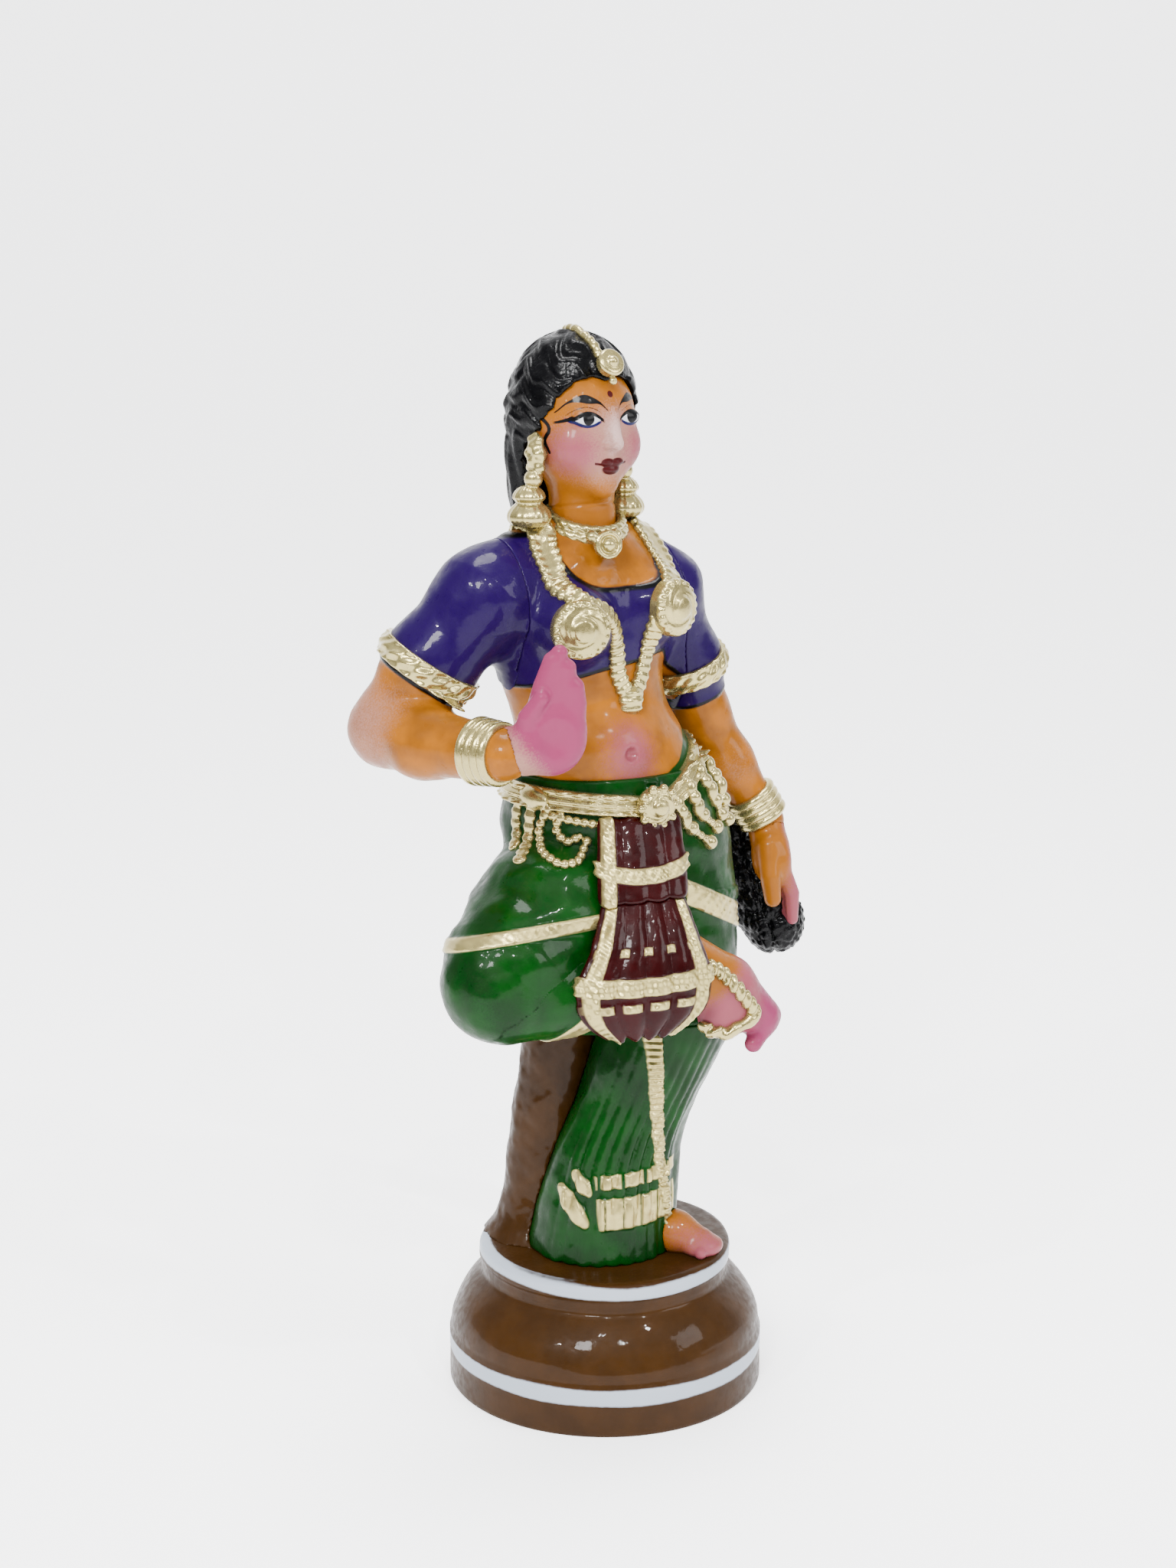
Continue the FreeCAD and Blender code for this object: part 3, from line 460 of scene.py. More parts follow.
LEG_ROWS = [
    (41, -2.5, -1.9, 21.5, 20.5), (58, -0.9, -3.0, 20.0, 18.5), (73, 1.6, -4.8, 18.4, 16.5),
    (85, 5.9, -7.2, 18.0, 16.0), (97, 10.3, -9.7, 19.5, 16.5), (110, 14.6, -11.2, 20.0, 17.5),
    (125, 13.9, -9.0, 21.5, 18.5), (140, 11.2, -6.0, 25.5, 21.0), (152, 6.9, -2.4, 31.0, 24.0),
    (162, 3.6, -0.1, 34.0, 25.0), (172, 2.5, 0.1, 33.0, 24.5), (181, 1.1, -0.2, 28.5, 21.5),
]
TORSO_ROWS = [
    (176, 1.4, -0.1, 28.0, 21.0), (181, 0.8, -0.1, 26.6, 20.2), (189, -1.4, 0.9, 24.6, 18.8),
    (198, -4.0, 2.9, 23.5, 16.6), (207, -5.6, 3.8, 24.8, 16.8), (218, -5.6, 3.7, 27.0, 17.5),
    (228, -5.4, 3.8, 28.0, 16.5), (236, -5.1, 4.0, 25.0, 13.5), (242, -4.8, 4.2, 17.0, 11.0),
    (247, -4.5, 4.1, 9.6, 9.4),
]
STUMP_ROWS = [
    (40.6, -10.3, 15.6, 18.5, 17.0), (45, -10.3, 15.4, 15.2, 14.2), (52, -10.2, 15.0, 13.4, 12.6),
    (72, -9.6, 13.5, 12.0, 11.5), (98, -7.9, 11.0, 11.0, 10.6), (126, -6.1, 9.0, 10.5, 10.0),
]
THIGH = [(-9, -3, 152), (-28, -10, 142), (-43, -15.5, 133.5), (-49, -17.5, 128.5)]
SHIN = [(-46, -19.5, 125.5), (-20, -27, 125.5), (0, -31, 125.5)]
ANKLE = [(0, -31, 125.5), (14.5, -32.5, 120.5)]


def leg_field(p):
    """Drape of the standing leg and the hips, with its pleats and folds."""
    d = loft(p, LEG_ROWS, 1.0)
    x, y, z = p.T
    qx, qy, _, _ = loft_place(p, LEG_ROWS)
    angle = np.arctan2(qy, qx)
    low = np.clip((112 - z) / 40, 0, 1)
    front = step_in(np.abs(angle + 2.05) - 0.95, 0.25)
    pleat = np.abs(np.sin(angle * 15 + 0.012 * z)) - 0.6
    swing = np.sin(angle * 7 - z * 0.10 + 0.8 * np.sin(z * 0.08))
    foot = 0.35 + 0.65 * np.clip((z - 50) / 14, 0, 1)
    d = d - low * foot * (front * 1.0 * pleat + (1 - front) * 0.55 * swing)
    upper = np.clip((z - 108) / 15, 0, 1)
    drapes = np.sin(z * 0.42 + angle * 3.0 + 0.8 * np.sin(angle * 4))
    return d - upper * 0.28 * drapes - 0.15 * lumps(p, 9, 1)


def thigh_field(p):
    d = limb(p, THIGH, [20.5, 19.2, 16.0, 13.6], 6.0)
    x, y, z = p.T
    folds = np.sin(0.55 * (z + 0.25 * x) + 1.2 * np.sin(0.09 * x))
    rows = step_in(-(z - 140), 6) * 0.3 + 0.08
    return d - rows * folds - 0.2 * lumps(p, 10, 2)


def shin_field(p):
    return limb(p, SHIN, [11.8, 11.2, 9.4], 4.0) - 0.15 * lumps(p, 8, 3)


def cloth(p):
    return smin(smin(leg_field(p), thigh_field(p), 5.0), shin_field(p), 3.0)


def slab(value, half):
    """Distance from a band of a given half width round value = 0."""
    return np.abs(value) - half


def thigh_band(p):
    x, y, z = p.T
    return slab(z - 140.8 + 0.276 * (y + 12), 1.9)


def knee_band(p):
    x, y, z = p.T
    return np.maximum(slab((x + 32.6) - 0.75 * (z - 116.5), 3.3), z - 124)


def sash_band(p):
    x, y, z = p.T
    d = slab(z - 140.3 + 0.5 * (x - 24), 3.5)
    return np.maximum(np.maximum(d, 8 - x), y - 12)


def hem_band(p):
    x, y, z = p.T
    along_hem = 0.55 * (x - 0.4 * y)
    low = np.maximum(slab(z - 56.6 - 0.05 * (x + 3), 4.4), 0.25 - 1.8 * np.abs(np.sin(along_hem)))
    high = np.maximum(slab(z - 66.0 - 0.08 * (x + 3), 1.9), 0.5 - 1.8 * np.abs(np.sin(along_hem * 0.8)))
    band = np.maximum(np.minimum(low, high), np.maximum(x - 11.0, -14.5 - x))
    slant = facing((-0.9, -0.45, 0), (0.35, -0.7, -0.85))
    leaf = egg(p, (-18.8, -10.8, 57.8), (2.5, 9.0, 7.4), slant)
    upper_leaf = egg(p, (-17.0, -12.5, 64.6), (1.9, 9.0, 4.4), slant)
    return np.maximum(np.minimum(band, np.minimum(leaf, upper_leaf)), y - 2)


def strip_line(p):
    """How far a point is, across, from the ribbed strip at the pleats' edge."""
    x, y, z = p.T
    middle = curve(np.clip(z, 44, 112), np.array([44.0, 66, 90, 112]), np.array([9.5, 4.6, 0.8, -0.8]))
    return np.maximum(np.maximum(slab(x - middle, 1.9), y + 8), 49 - z)


def build_cloth():
    def relief(p, d):
        x, y, z = p.T
        rough = 0.2 * np.sin(2.6 * x) * np.sin(2.2 * z)
        bands = np.minimum.reduce([thigh_band(p), sash_band(p), knee_band(p)])
        d = d - step_in(bands, 0.5) * (0.6 + rough * 0.5)
        blocks = 0.35 * np.clip(3 * np.sin(0.95 * x - 0.4 * y), -1, 1) + 0.2 * np.sin(0.8 * z)
        d = d - step_in(hem_band(p), 0.5) * (0.75 + blocks)
        dots = 0.3 * np.clip(np.sin(x * 1.9) * np.sin((z + 0.5 * x) * 1.9), 0, 1)
        d = d - step_in(sash_band(p), 0.4) * dots
        ribs = 0.35 * np.sin(3.3 * z)
        return d - step_in(strip_line(p), 0.5) * (0.7 + ribs)

    def parted(own, others, low=None, high=None):
        def field(p):
            d = smin(smin(leg_field(p), thigh_field(p), 5.0), shin_field(p), 3.0)
            d = relief(p, d)
            mine = own(p)
            for other in others:
                d = np.maximum(d, mine - other(p) - 0.35)
            if low is not None:
                d = np.maximum(d, low - p[:, 2])
            if high is not None:
                d = np.maximum(d, p[:, 2] - high)
            return d
        return field

    gold_hem = lambda p: np.minimum(hem_band(p), strip_line(p))
    dark = lambda p: 3.0 * np.sin(p[:, 2] * 0.13 + p[:, 0] * 0.21) + 3.5
    green = (GREEN, "varnish")
    sculpt(
        "leg_drape", parted(leg_field, [thigh_field, shin_field], 40.8, 110),
        (-26, -32, 40), (36, 20, 111), 0.5, ["leg_drape"], green,
        [(DARK_GREEN, 3.0, dark), (GOLD, 0.25, gold_hem)],
    )
    sculpt(
        "hip_drape", parted(leg_field, [thigh_field, shin_field], 110, 180.5),
        (-34, -32, 109), (40, 28, 182), 0.55, ["hip_drape"], green,
        [(DARK_GREEN, 3.0, dark), (GOLD, 0.25, sash_band)],
    )
    sculpt(
        "raised_thigh", parted(thigh_field, [leg_field, shin_field]),
        (-66, -36, 108), (12, 20, 176), 0.5, ["raised_thigh"], green,
        [(DARK_GREEN, 3.0, dark), (GOLD, 0.25, lambda p: np.minimum(thigh_band(p), knee_band(p)))],
    )
    sculpt(
        "raised_shin", parted(shin_field, [leg_field, thigh_field]),
        (-60, -44, 108), (12, -8, 140), 0.5, ["raised_shin"], green,
        [(DARK_GREEN, 3.0, dark), (GOLD, 0.25, knee_band)],
    )


def build_stump():
    def field(p):
        d = loft(p, STUMP_ROWS, 0.5) - 0.35 * lumps(p, 14, 5) - 0.15 * lumps(p, 5, 6)
        return np.maximum(d, 0.1 - np.minimum(leg_field(p), thigh_field(p)))

    sculpt("stump", field, (-32, -4, 40), (10, 34, 127), 0.6, ["stump"], (BROWN, "bark"))


# ---------------------------------------------------------------- plinth

def build_plinth():
    """The stepped base, turned with a slight hand-made wobble and hollow like its CAD node."""
    lo, hi = (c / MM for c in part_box("plinth"))
    radius, top = (hi[0] - lo[0]) / 2, hi[2]
    wall = 5.0
    outline = [(radius - wall, 0.0), (radius - 0.3, 0.0), (radius, 0.4), (radius, 3.0), (radius - 0.1, 8.8)]
    outline += [(radius + 0.0, 9.6), (radius + 0.0, 14.2), (radius - 0.5, 15.2)]
    for i in range(1, 15):
        t = i / 14
        outline.append((radius - 0.5 - 7.9 * t**2.1, 15.2 + 15.6 * t))
    outline += [(radius - 9.3, 31.6), (radius - 9.7, 32.4), (radius - 9.5, 33.4), (radius - 9.5, 35.8)]
    outline += [(radius - 9.0, 36.4), (radius - 9.0, 39.4), (radius - 9.5, 40.5), (radius - 10.6, 41.0)]
    outline += [(20.0, top), (8.0, top), (0.0, top), (0.0, top - 6), (radius - 14.5, top - 6)]
    outline += [(radius - 13.8, 29.0), (radius - wall, 12.5)]
    outline = thicken_outline(outline, 0.7)
    turns = 320
    angle = np.arange(turns) * (2 * math.pi / turns)
    rings = []
    for r, z in outline:
        wobble = 0.0 if r < radius - 12 or z < 1 else 0.18
        shake = wobble * (np.sin(3 * angle + 0.2 * z) + 0.6 * np.sin(7 * angle - 0.3 * z + 1)) * (r < radius - 1)
        rings.append(np.stack([(r + shake) * np.cos(angle), (r + shake) * np.sin(angle), np.full(turns, z)], 1))
    points = np.concatenate(rings)
    faces = []
    count = len(outline)
    at = np.arange(turns)
    nxt = (at + 1) % turns
    for i in range(count):
        j = (i + 1) % count
        faces.append(np.stack([i * turns + at, i * turns + nxt, j * turns + nxt, j * turns + at], 1))
    item = new_object("plinth", points, np.concatenate(faces))
    weld(item)
    points = np.empty(len(item.data.vertices) * 3, np.float32)
    item.data.vertices.foreach_get("co", points)
    points = points.reshape(-1, 3) / MM

    def bands(p):
        x, y, z = p.T
        turn = np.arctan2(y, x)
        reach = np.hypot(x, y)
        low = slab(z - 11.5 - 0.25 * np.sin(2 * turn + 1), 1.9 + 0.5 * np.cos(turn + 2.18) + 0.12 * np.sin(9 * turn))
        high = slab(z - 38.1 - 1.6 * np.clip(np.cos(turn - 2.7), 0, 1), 1.8 + 0.15 * np.sin(7 * turn))
        high = np.maximum(high, radius - 12.0 - reach)
        return np.maximum(np.minimum(low, high), radius - 13 - reach)

    finish(item, points, ["plinth"], (BROWN, "bark"), [(WHITE, 0.35, bands)])


def thicken_outline(outline, spacing):
    """Adds points so that no stretch is longer than the spacing."""
    out = []
    for a, b in zip(outline, outline[1:] + outline[:1]):
        parts = max(1, int(math.dist(a, b) / spacing))
        out += [(a[0] + (b[0] - a[0]) * i / parts, a[1] + (b[1] - a[1]) * i / parts) for i in range(parts)]
    return out


def weld(item):
    """Joins points that lie in one place and drops the faces that vanish."""
    import bmesh

    work = bmesh.new()
    work.from_mesh(item.data)
    bmesh.ops.remove_doubles(work, verts=work.verts, dist=1e-6)
    bmesh.ops.recalc_face_normals(work, faces=work.faces)
    work.to_mesh(item.data)
    work.free()


# ---------------------------------------------------------------- body

ARM_R = [(-36.0, 4.5, 229.5), (-50, 11, 212), (-59.5, 17.0, 194.5), (-57, 2, 193), (-49.8, -25, 193.5)]
ARM_R_SIZE = [12.2, 11.4, 9.6, 9.0, 6.9]
ARM_L = [(21.5, 4.8, 225.5), (32.2, 7, 205), (38.5, 8, 189), (46.5, 4.5, 174), (56.6, 0.0, 156.5)]
ARM_L_SIZE = [10.2, 9.2, 7.8, 6.7, 5.6]
BREAST_R = (-18.0, -9.0, 222.0)
BREAST_L = (8.6, -6.2, 224.5)
NAVEL = (-5.2, -19.8, 187.0)


def right_arm_field(p):
    return limb(p, ARM_R, ARM_R_SIZE, 5.0)


def left_arm_field(p):
    return limb(p, ARM_L, ARM_L_SIZE, 5.0)


def trunk_field(p):
    d = loft(p, TORSO_ROWS, 1.5)
    d = smin(d, egg(p, (-5.0, -4.5, 188.5), (16.0, 14.6, 11.0)), 4.0)
    d = smin(d, limb(p, [(-12, 6, 246), (-25, 6, 239.5), (-36, 5, 229.5)], [5.0, 6.5, 11.5]), 4.0)
    d = smin(d, limb(p, [(2, 6, 246), (16, 5.5, 237.0), (24, 5, 228)], [4.6, 5.8, 8.8]), 4.0)
    d = smin(d, ball(p, BREAST_R, 11.0), 3.0)
    d = smin(d, ball(p, BREAST_L, 10.6), 3.0)
    return smax(d, -ball(p, NAVEL, 1.9), 1.0)


def body_field(p):
    d = smin(trunk_field(p), right_arm_field(p), 7.0)
    return smin(d, left_arm_field(p), 6.0) - 0.12 * lumps(p, 9, 4)


def right_split(p):
    return (p[:, 0] + 30.5) + 0.05 * (p[:, 2] - 220)


def left_split(p):
    return (22.8 - p[:, 0]) * 0.99 - 0.145 * (p[:, 2] - 226)


def blouse_edge(p):
    """Below 0 where the blouse covers the chest and the upper arms."""
    x, y, z = p.T
    bottom = 209.3 + 0.22 * np.clip(x + 10, -20, 0) + 0.12 * np.clip(x + 10, 0, 20) - 0.8 * np.clip(x - 13, 0, 13)
    scoop = ((np.abs(x + 3.0) / 16.0) ** 3 + (np.abs(z - 247.0) / 15.6) ** 3) ** (1 / 3) - 1
    scoop = np.where(y < 4, scoop * 14, np.hypot(x + 4.5, 0 * z) - 12.0 + (245 - z) * 1.0)
    d = np.maximum(bottom - z, -scoop)
    return np.maximum(d, z - 246)


def sleeve_end(p, arm):
    """How far a point is past the end of a sleeve, along the upper arm; the forearm counts as past it."""
    a, b = vec(*arm[1]), vec(*arm[2])
    way = unit(b - a)
    sizes, reach = (ARM_R_SIZE, 5.2) if arm is ARM_R else (ARM_L_SIZE, 11.0)
    upper, lower = limb(p, arm[:3], sizes[:3]), limb(p, arm[2:], sizes[2:])
    return np.maximum((p - a) @ way - reach, upper - lower - 1.0)


def build_body():
    def torso(p):
        d = body_field(p) - 0.55 * step_in(blouse_edge(p), 0.35)
        return np.maximum(np.maximum(d, -right_split(p)), -left_split(p))

    def waist_green(p):
        return p[:, 2] - belt_height(p) - 5.0 - 4.0 * np.clip((p[:, 0] - 12) / 12, 0, 1)

    def blush(p):
        return np.linalg.norm((p - vec(*NAVEL)) * vec(1, 1, 0.8), axis=1) - 6

    def blouse_rim(p):
        return np.abs(blouse_edge(p) + 0.5) - 0.6

    sculpt(
        "torso", torso, (-33, -26, 176), (29, 24, 248), 0.5, ["torso"], (ORANGE, "varnish"),
        [(PINK, 5.5, blush), (GREEN, 0.25, waist_green), (INDIGO, 0.2, blouse_edge), (BLACK, 0.3, blouse_rim)],
    )
    for side, arm, split, field in (
        ("right", ARM_R, right_split, right_arm_field),
        ("left", ARM_L, left_split, left_arm_field),
    ):
        def arm_piece(p, arm=arm, split=split):
            d = body_field(p) - 0.55 * step_in(sleeve_end(p, arm), 0.35)
            return np.maximum(d, split(p))

        def sleeve(p, arm=arm):
            return np.maximum(sleeve_end(p, arm), (201.0 if arm is ARM_R else 180.0) - p[:, 2])

        def elbow(p, arm=arm):
            return ball(p, arm[2], 12.5) if arm is ARM_R else ball(p, arm[3], 4)

        def rim(p, arm=arm):
            return np.abs(sleeve_end(p, arm) + 0.4) - 0.6

        lo = (-72, -36, 180) if side == "right" else (16, -8, 148)
        hi = (-28, 30, 245) if side == "right" else (64, 20, 241)
        sculpt(
            f"{side}_arm", arm_piece, lo, hi, 0.5, [f"{side}_arm"], (ORANGE, "varnish"),
            [(PALE, 6.0, elbow), (INDIGO, 0.2, sleeve), (BLACK, 0.3, rim)],
        )


# ---------------------------------------------------------------- head and hair

HEAD = vec(-6, 4, 273)
NECK = [(-4.4, 4.3, 238), (-5.2, 4.8, 262)]
BROW = np.array([(1.7, 5.6), (3.2, 7.3), (5.5, 8.3), (8.3, 8.5), (11.0, 7.2), (12.8, 5.0)])
EYE_X, EYE_Z, EYE_HALF = 6.9, 3.2, 3.9


def head_field(p):
    q = p - HEAD
    side = q * vec(1, 1, 1)
    side[:, 0] = np.abs(side[:, 0])
    d = egg(q, (0, 1.0, 3.5), (14.7, 16.6, 15.4))
    d = smin(d, egg(q, (0, -1.8, -6.5), (12.4, 13.4, 12.4)), 5.0)
    d = smin(d, egg(side, (7.2, -9.0, -4.6), (5.4, 4.6, 5.6)), 3.5)
    d = smin(d, ball(q, (0, -10.6, -14.6), 3.6), 3.5)
    d = smax(d, -egg(side, (6.8, -17.6, 3.6), (5.4, 2.6, 3.2)), 2.5)
    d = smin(d, egg(side, (6.9, -12.3, 3.2), (3.7, 2.4, 2.4)), 1.0)
    d = smin(d, limb(q, [(0, -14.2, 5.5), (0, -15.9, 0.5), (0, -17.2, -3.0)], [1.5, 1.6, 1.9]), 1.8)
    d = smin(d, ball(side, (1.9, -15.4, -3.4), 1.25), 1.0)
    d = smin(d, egg(side, (1.4, -14.5, -8.1), (2.4, 1.5, 1.1)), 0.7)
    d = smin(d, egg(q, (0, -14.2, -10.1), (2.7, 1.5, 1.2)), 0.7)
    neck = limb(p, NECK, [9.4, 8.6])
    crease = 0.35 * np.exp(-(((p[:, 2] - 252.5 + 0.15 * p[:, 1]) / 0.5) ** 2))
    return smin(d, neck + crease, 3.5)


def hairline(p):
    """Below 0 where the face is bare of hair."""
    q = p - HEAD
    x, y, z = np.abs(q[:, 0]), q[:, 1], q[:, 2]
    peak = z - 13.2 - 0.9 * np.exp(-((x - 4.5) / 3.0) ** 2) + 0.5 * np.exp(-((x / 1.2) ** 2))
    rounded = ((x / 14.2) ** 2.8 + (np.maximum(z + 5, 0) / 19.2) ** 2.8) ** (1 / 2.8) - 1
    window = np.maximum(np.maximum(rounded * 14, peak), y - 6)
    temple = -3.6 + 4.6 * step_in(z + 5.0, 1.5)
    cheek = np.maximum(np.maximum(z - 2.5 - 0.3 * np.sin(y), y - temple), -z - 30)
    return smin(window, cheek, 1.0)


def hair_field(p):
    q = p - HEAD
    x, y, z = q.T
    d = egg(q, (0.3, 3.8, 6.4), (17.2, 17.8, 19.3))
    rows = [(236, -4, 20, 5, 5), (248, -5, 17.5, 12.2, 8.3), (262, -6, 14.6, 15.2, 11), (280, -6, 12.0, 15.6, 12)]
    d = smin(d, loft(p, rows, 3.0), 4.0)
    turn = np.arctan2(np.abs(x), z - 2.0)
    flow = turn * 17 + 1.5 * np.sin(y * 0.33) + 0.9 * np.sin(y * 0.8 + turn * 5)
    down = np.clip((2.0 - z) / 10, 0, 1)
    around = np.arctan2(x, y - 6.0) * 15 + 0.8 * np.sin(z * 0.3)
    d = d - (1 - down) * (0.34 * np.sin(flow) + 0.12 * np.sin(2.3 * flow + 0.4 * y))
    d = d - down * (0.34 * np.sin(around) + 0.12 * np.sin(2.3 * around + 0.5 * z))
    parting = np.exp(-((x / 0.9) ** 2)) * np.clip((z - 6) / 6, 0, 1)
    d = d + 0.5 * parting
    d = smax(d, -(hairline(p) - 0.0), 1.2)
    return d


def line_paint(q, spots, half):
    off, _ = along(q, route(spots, 12))
    return off - half


def build_head():
    def head(p):
        return head_field(p)

    def local(p):
        q = p - HEAD
        front = np.where(q[:, 1] < -2, 0.0, 5.0)
        return q, np.abs(q[:, 0]), q[:, 2], front

    def eye_lids(p):
        q, x, z, front = local(p)
        s = (x - EYE_X) / EYE_HALF
        inner = np.clip(1 - s * s, -1.5, 1)
        return z - EYE_Z, s, 1.75 * inner, -1.45 * inner, front

    def white(p):
        z, s, top, low, front = eye_lids(p)
        return np.maximum(z - top, low - z) + front

    def iris(p):
        q, x, z, front = local(p)
        round_iris = np.hypot(x - EYE_X - 0.1, z - EYE_Z - 0.35) - 1.75
        return np.maximum(round_iris, white(p))

    def ink(p):
        z, s, top, low, front = eye_lids(p)
        q, x, zz, _ = local(p)
        lid = np.abs(z - np.where(s > 1, -1.6 * (s - 1), top)) - 0.5 + 0.3 * np.clip(s - 1, 0, 1)
        lid = np.maximum(lid, np.abs(s - 0.22) - 1.35)
        arch = curve(np.clip(x, 1.7, 12.8), BROW[:, 0], BROW[:, 1])
        thick = 0.20 + 0.95 * np.exp(-(((x - 6.6) / 2.5) ** 2))
        brow = np.maximum(np.abs(zz - arch) - thick, np.maximum(1.6 - x, x - 12.9))
        crease = np.maximum(np.abs(z - top - 1.5) - 0.12, np.abs(s - 0.1) - 1.0)
        side = q * vec(0, 1, 1)
        curl = line_paint(side, [(0, 1.0, 5.0), (0, -4.0, 2.6), (0, -5.4, 0.2), (0, -3.5, -2.6), (0, -4.9, -5.6)], 0.55)
        curl = np.maximum(curl, 8 - x)
        return np.minimum(np.minimum(np.minimum(lid, brow) + front, crease + front), curl)

    def under_eye(p):
        z, s, top, low, front = eye_lids(p)
        return np.maximum(np.abs(z - low + 0.25) - 0.42, np.abs(s - 0.1) - 1.05) + front

    def lips(p):
        q, x, z, front = local(p)
        upper = np.hypot((x - 1.5) / 2.1, (z + 8.2) / 1.2) - 1
        lower = np.hypot(x / 2.8, (z + 10.0) / 1.5) - 1
        corner = np.maximum(np.abs(z + 8.75 - 0.015 * x * x) - 0.32, x - 5.0)
        return np.minimum(np.minimum(upper, lower) * 1.2, corner) + front

    def bindi(p):
        q, x, z, front = local(p)
        return np.hypot(x, z - 9.7) - 0.85 + front

    def cheeks(p):
        q, x, z, front = local(p)
        return np.linalg.norm(np.stack([x - 9.6, (q[:, 1] + 11) * 0.7, z + 5.0], 1), axis=1) - 5.6

    def pale(p):
        q, x, z, front = local(p)
        return np.hypot(x * 0.85, (z + 3.5)) - 9.5 + np.clip(q[:, 1] + 6, 0, 20)

    # Painted highlight: a small pale patch down the front of the nose bridge, on front-facing skin only.
    def nose_highlight(p):
        q, x, z, front = local(p)
        return np.hypot(x * 1.4, (z + 0.5) * 0.6) - 2.6 + np.clip(q[:, 1] + 10, 0, 20)

    sculpt(
        "head", head, (-23, -16, 241), (11, 24, 293), 0.3, ["head"], (ORANGE, "skin"),
        [(PALE, 4.0, pale), (PINK, 4.5, cheeks), (NOSE_HIGHLIGHT, 2.0, nose_highlight),
         (EYE_WHITE, 0.08, white), (BLUE, 0.12, under_eye), (BLACK, 0.08, iris), (BLACK, 0.08, ink),
         (LIP_RED, 0.10, lips), (LIP_RED, 0.10, bindi)],
    )

    def hair(p):
        return np.maximum(hair_field(p), 0.15 - head_field(p))

    sculpt(
        "hair", hair, (-25, -12, 234), (13, 30, 300.5), 0.42, ["hair"], (BLACK, "hair"),
    )


PLAIT = [(-4, 22.5, 242), (0, 25.5, 222), (9, 26.0, 202), (24, 25.5, 184), (37, 20.0, 169), (47, 13.0, 156),
         (55.0, 6.0, 142), (60.5, 1.0, 125.0)]


def build_plait():
    line = route(PLAIT, 60)
    across = unit((0.75, -0.65, 0.1))
    length = np.linalg.norm(np.diff(line, axis=0), axis=1).sum()

    def plait(p):
        off, where = along(p, line)
        share = where / length
        size = 4.3 + 1.8 * share + 3.2 * np.clip((where - length + 25) / 7, 0, 1)
        body = off - size
        middle = np.array([np.interp(where, np.linspace(0, length, len(line)), line[:, i]) for i in range(3)]).T
        lean = (p - middle) @ across
        lobes = np.abs(np.sin(where * 0.42 + np.where(lean > 0, 1.1, -0.6) + 0.16 * np.abs(lean)))
        split = np.exp(-((lean / 0.9) ** 2))
        d = body - 1.25 * (lobes - 0.55) + 0.7 * split
        d = d - 0.30 * lumps(p, 2.6, 9) * (0.4 + share)
        return np.maximum(d, 0.1 - np.minimum(hair_field(p), body_field(p)))

    sculpt("plait", plait, (-14, -13, 113), (72, 35, 246), 0.5, ["plait"], (BLACK, "hair"))


# ---------------------------------------------------------------- hands and feet

def build_hands():
    across, out = unit((0.88, -0.47, 0)), unit((-0.47, -0.88, -0.05))
    up = np.cross(across, out) * -1
    up = up if up[2] > 0 else -up
    middle = vec(-41, -31.5, 203)
    axes = np.array([across, out, up])

    def right(p):
        q = (p - middle) @ axes.T
        d = egg(q, (1.0, 0.4, -4.8), (9.4, 4.5, 10.2))
        fingers = [
            ([(-3.2, -0.2, -1), (-0.6, 0.1, 9), (1.1, 0.6, 15.6)], [3.1, 2.8, 2.1]),
            ([(0.6, 0.3, 0), (2.2, 0.4, 10), (3.2, 0.9, 17.6)], [3.1, 2.8, 2.1]),
            ([(4.2, 0.2, 0), (5.0, 0.3, 8), (5.2, 0.8, 13.6)], [3.1, 2.9, 2.3]),
            ([(7.0, 0.2, -2), (7.4, 0.3, 4), (7.2, 0.7, 8.6)], [3.0, 2.9, 2.4]),
        ]
        for spots, sizes in fingers:
            d = smin(d, limb(q, spots, sizes), 1.4)
        d = smin(d, limb(q, [(-6.0, 0.6, -7), (-5.2, 2.4, 1), (-1.6, 3.2, 6.5)], [3.2, 2.5, 2.0]), 1.3)
        d = smax(d, -egg(q, (2.2, 5.4, -5.0), (4.2, 2.0, 5.0)), 2.0)
        wrist = limb(p, [(-51, -20, 193.5), (-46.5, -27.5, 194.6)], [6.6, 6.4])
        return np.maximum(smin(d, wrist, 3.0), 0.1 - right_arm_field(p))

    def palm(p):
        q = (p - middle) @ axes.T
        return -(q[:, 0] * 0.75 + q[:, 2] * 0.6 + 9.0)

    sculpt(
        "right_hand", right, (-58, -46, 183), (-28, -10, 225), 0.35, ["right_hand"],
        (PALE, "skin"), [(HOT_PINK, 3.0, palm)],
    )

    def left(p):
        d = limb(p, [(56.4, 0.2, 157), (56.2, -3.0, 150), (55.4, -4.6, 145)], [5.5, 5.2, 4.8])
        d = smin(d, egg(p, (56.0, -4.5, 145.0), (4.4, 6.6, 8.4)), 3.0)
        for i in range(4):
            root = vec(57.0, -8.0 + 2.7 * i, 143)
            tip = vec(60.2, -9.0 + 2.5 * i, 127.0 + 1.0 * abs(i - 1))
            bend = (root + tip) / 2 + vec(1.6, 0, 0)
            d = smin(d, limb(p, [root, bend, tip], [2.5, 2.3, 1.7]), 0.8)
        d = smin(d, limb(p, [(53.5, -6, 150), (51.8, -9.0, 142), (52.0, -10.0, 135.5)], [3.4, 3.0, 2.4]), 1.4)
        return np.maximum(d, 0.1 - left_arm_field(p))

    sculpt(
        "left_hand", left, (43, -16, 123), (65, 8, 162), 0.35, ["left_hand"],
        (ORANGE, "skin"), [(PINK, 3.0, lambda p: 57.6 - p[:, 0] + 0.1 * (p[:, 2] - 140))],
    )


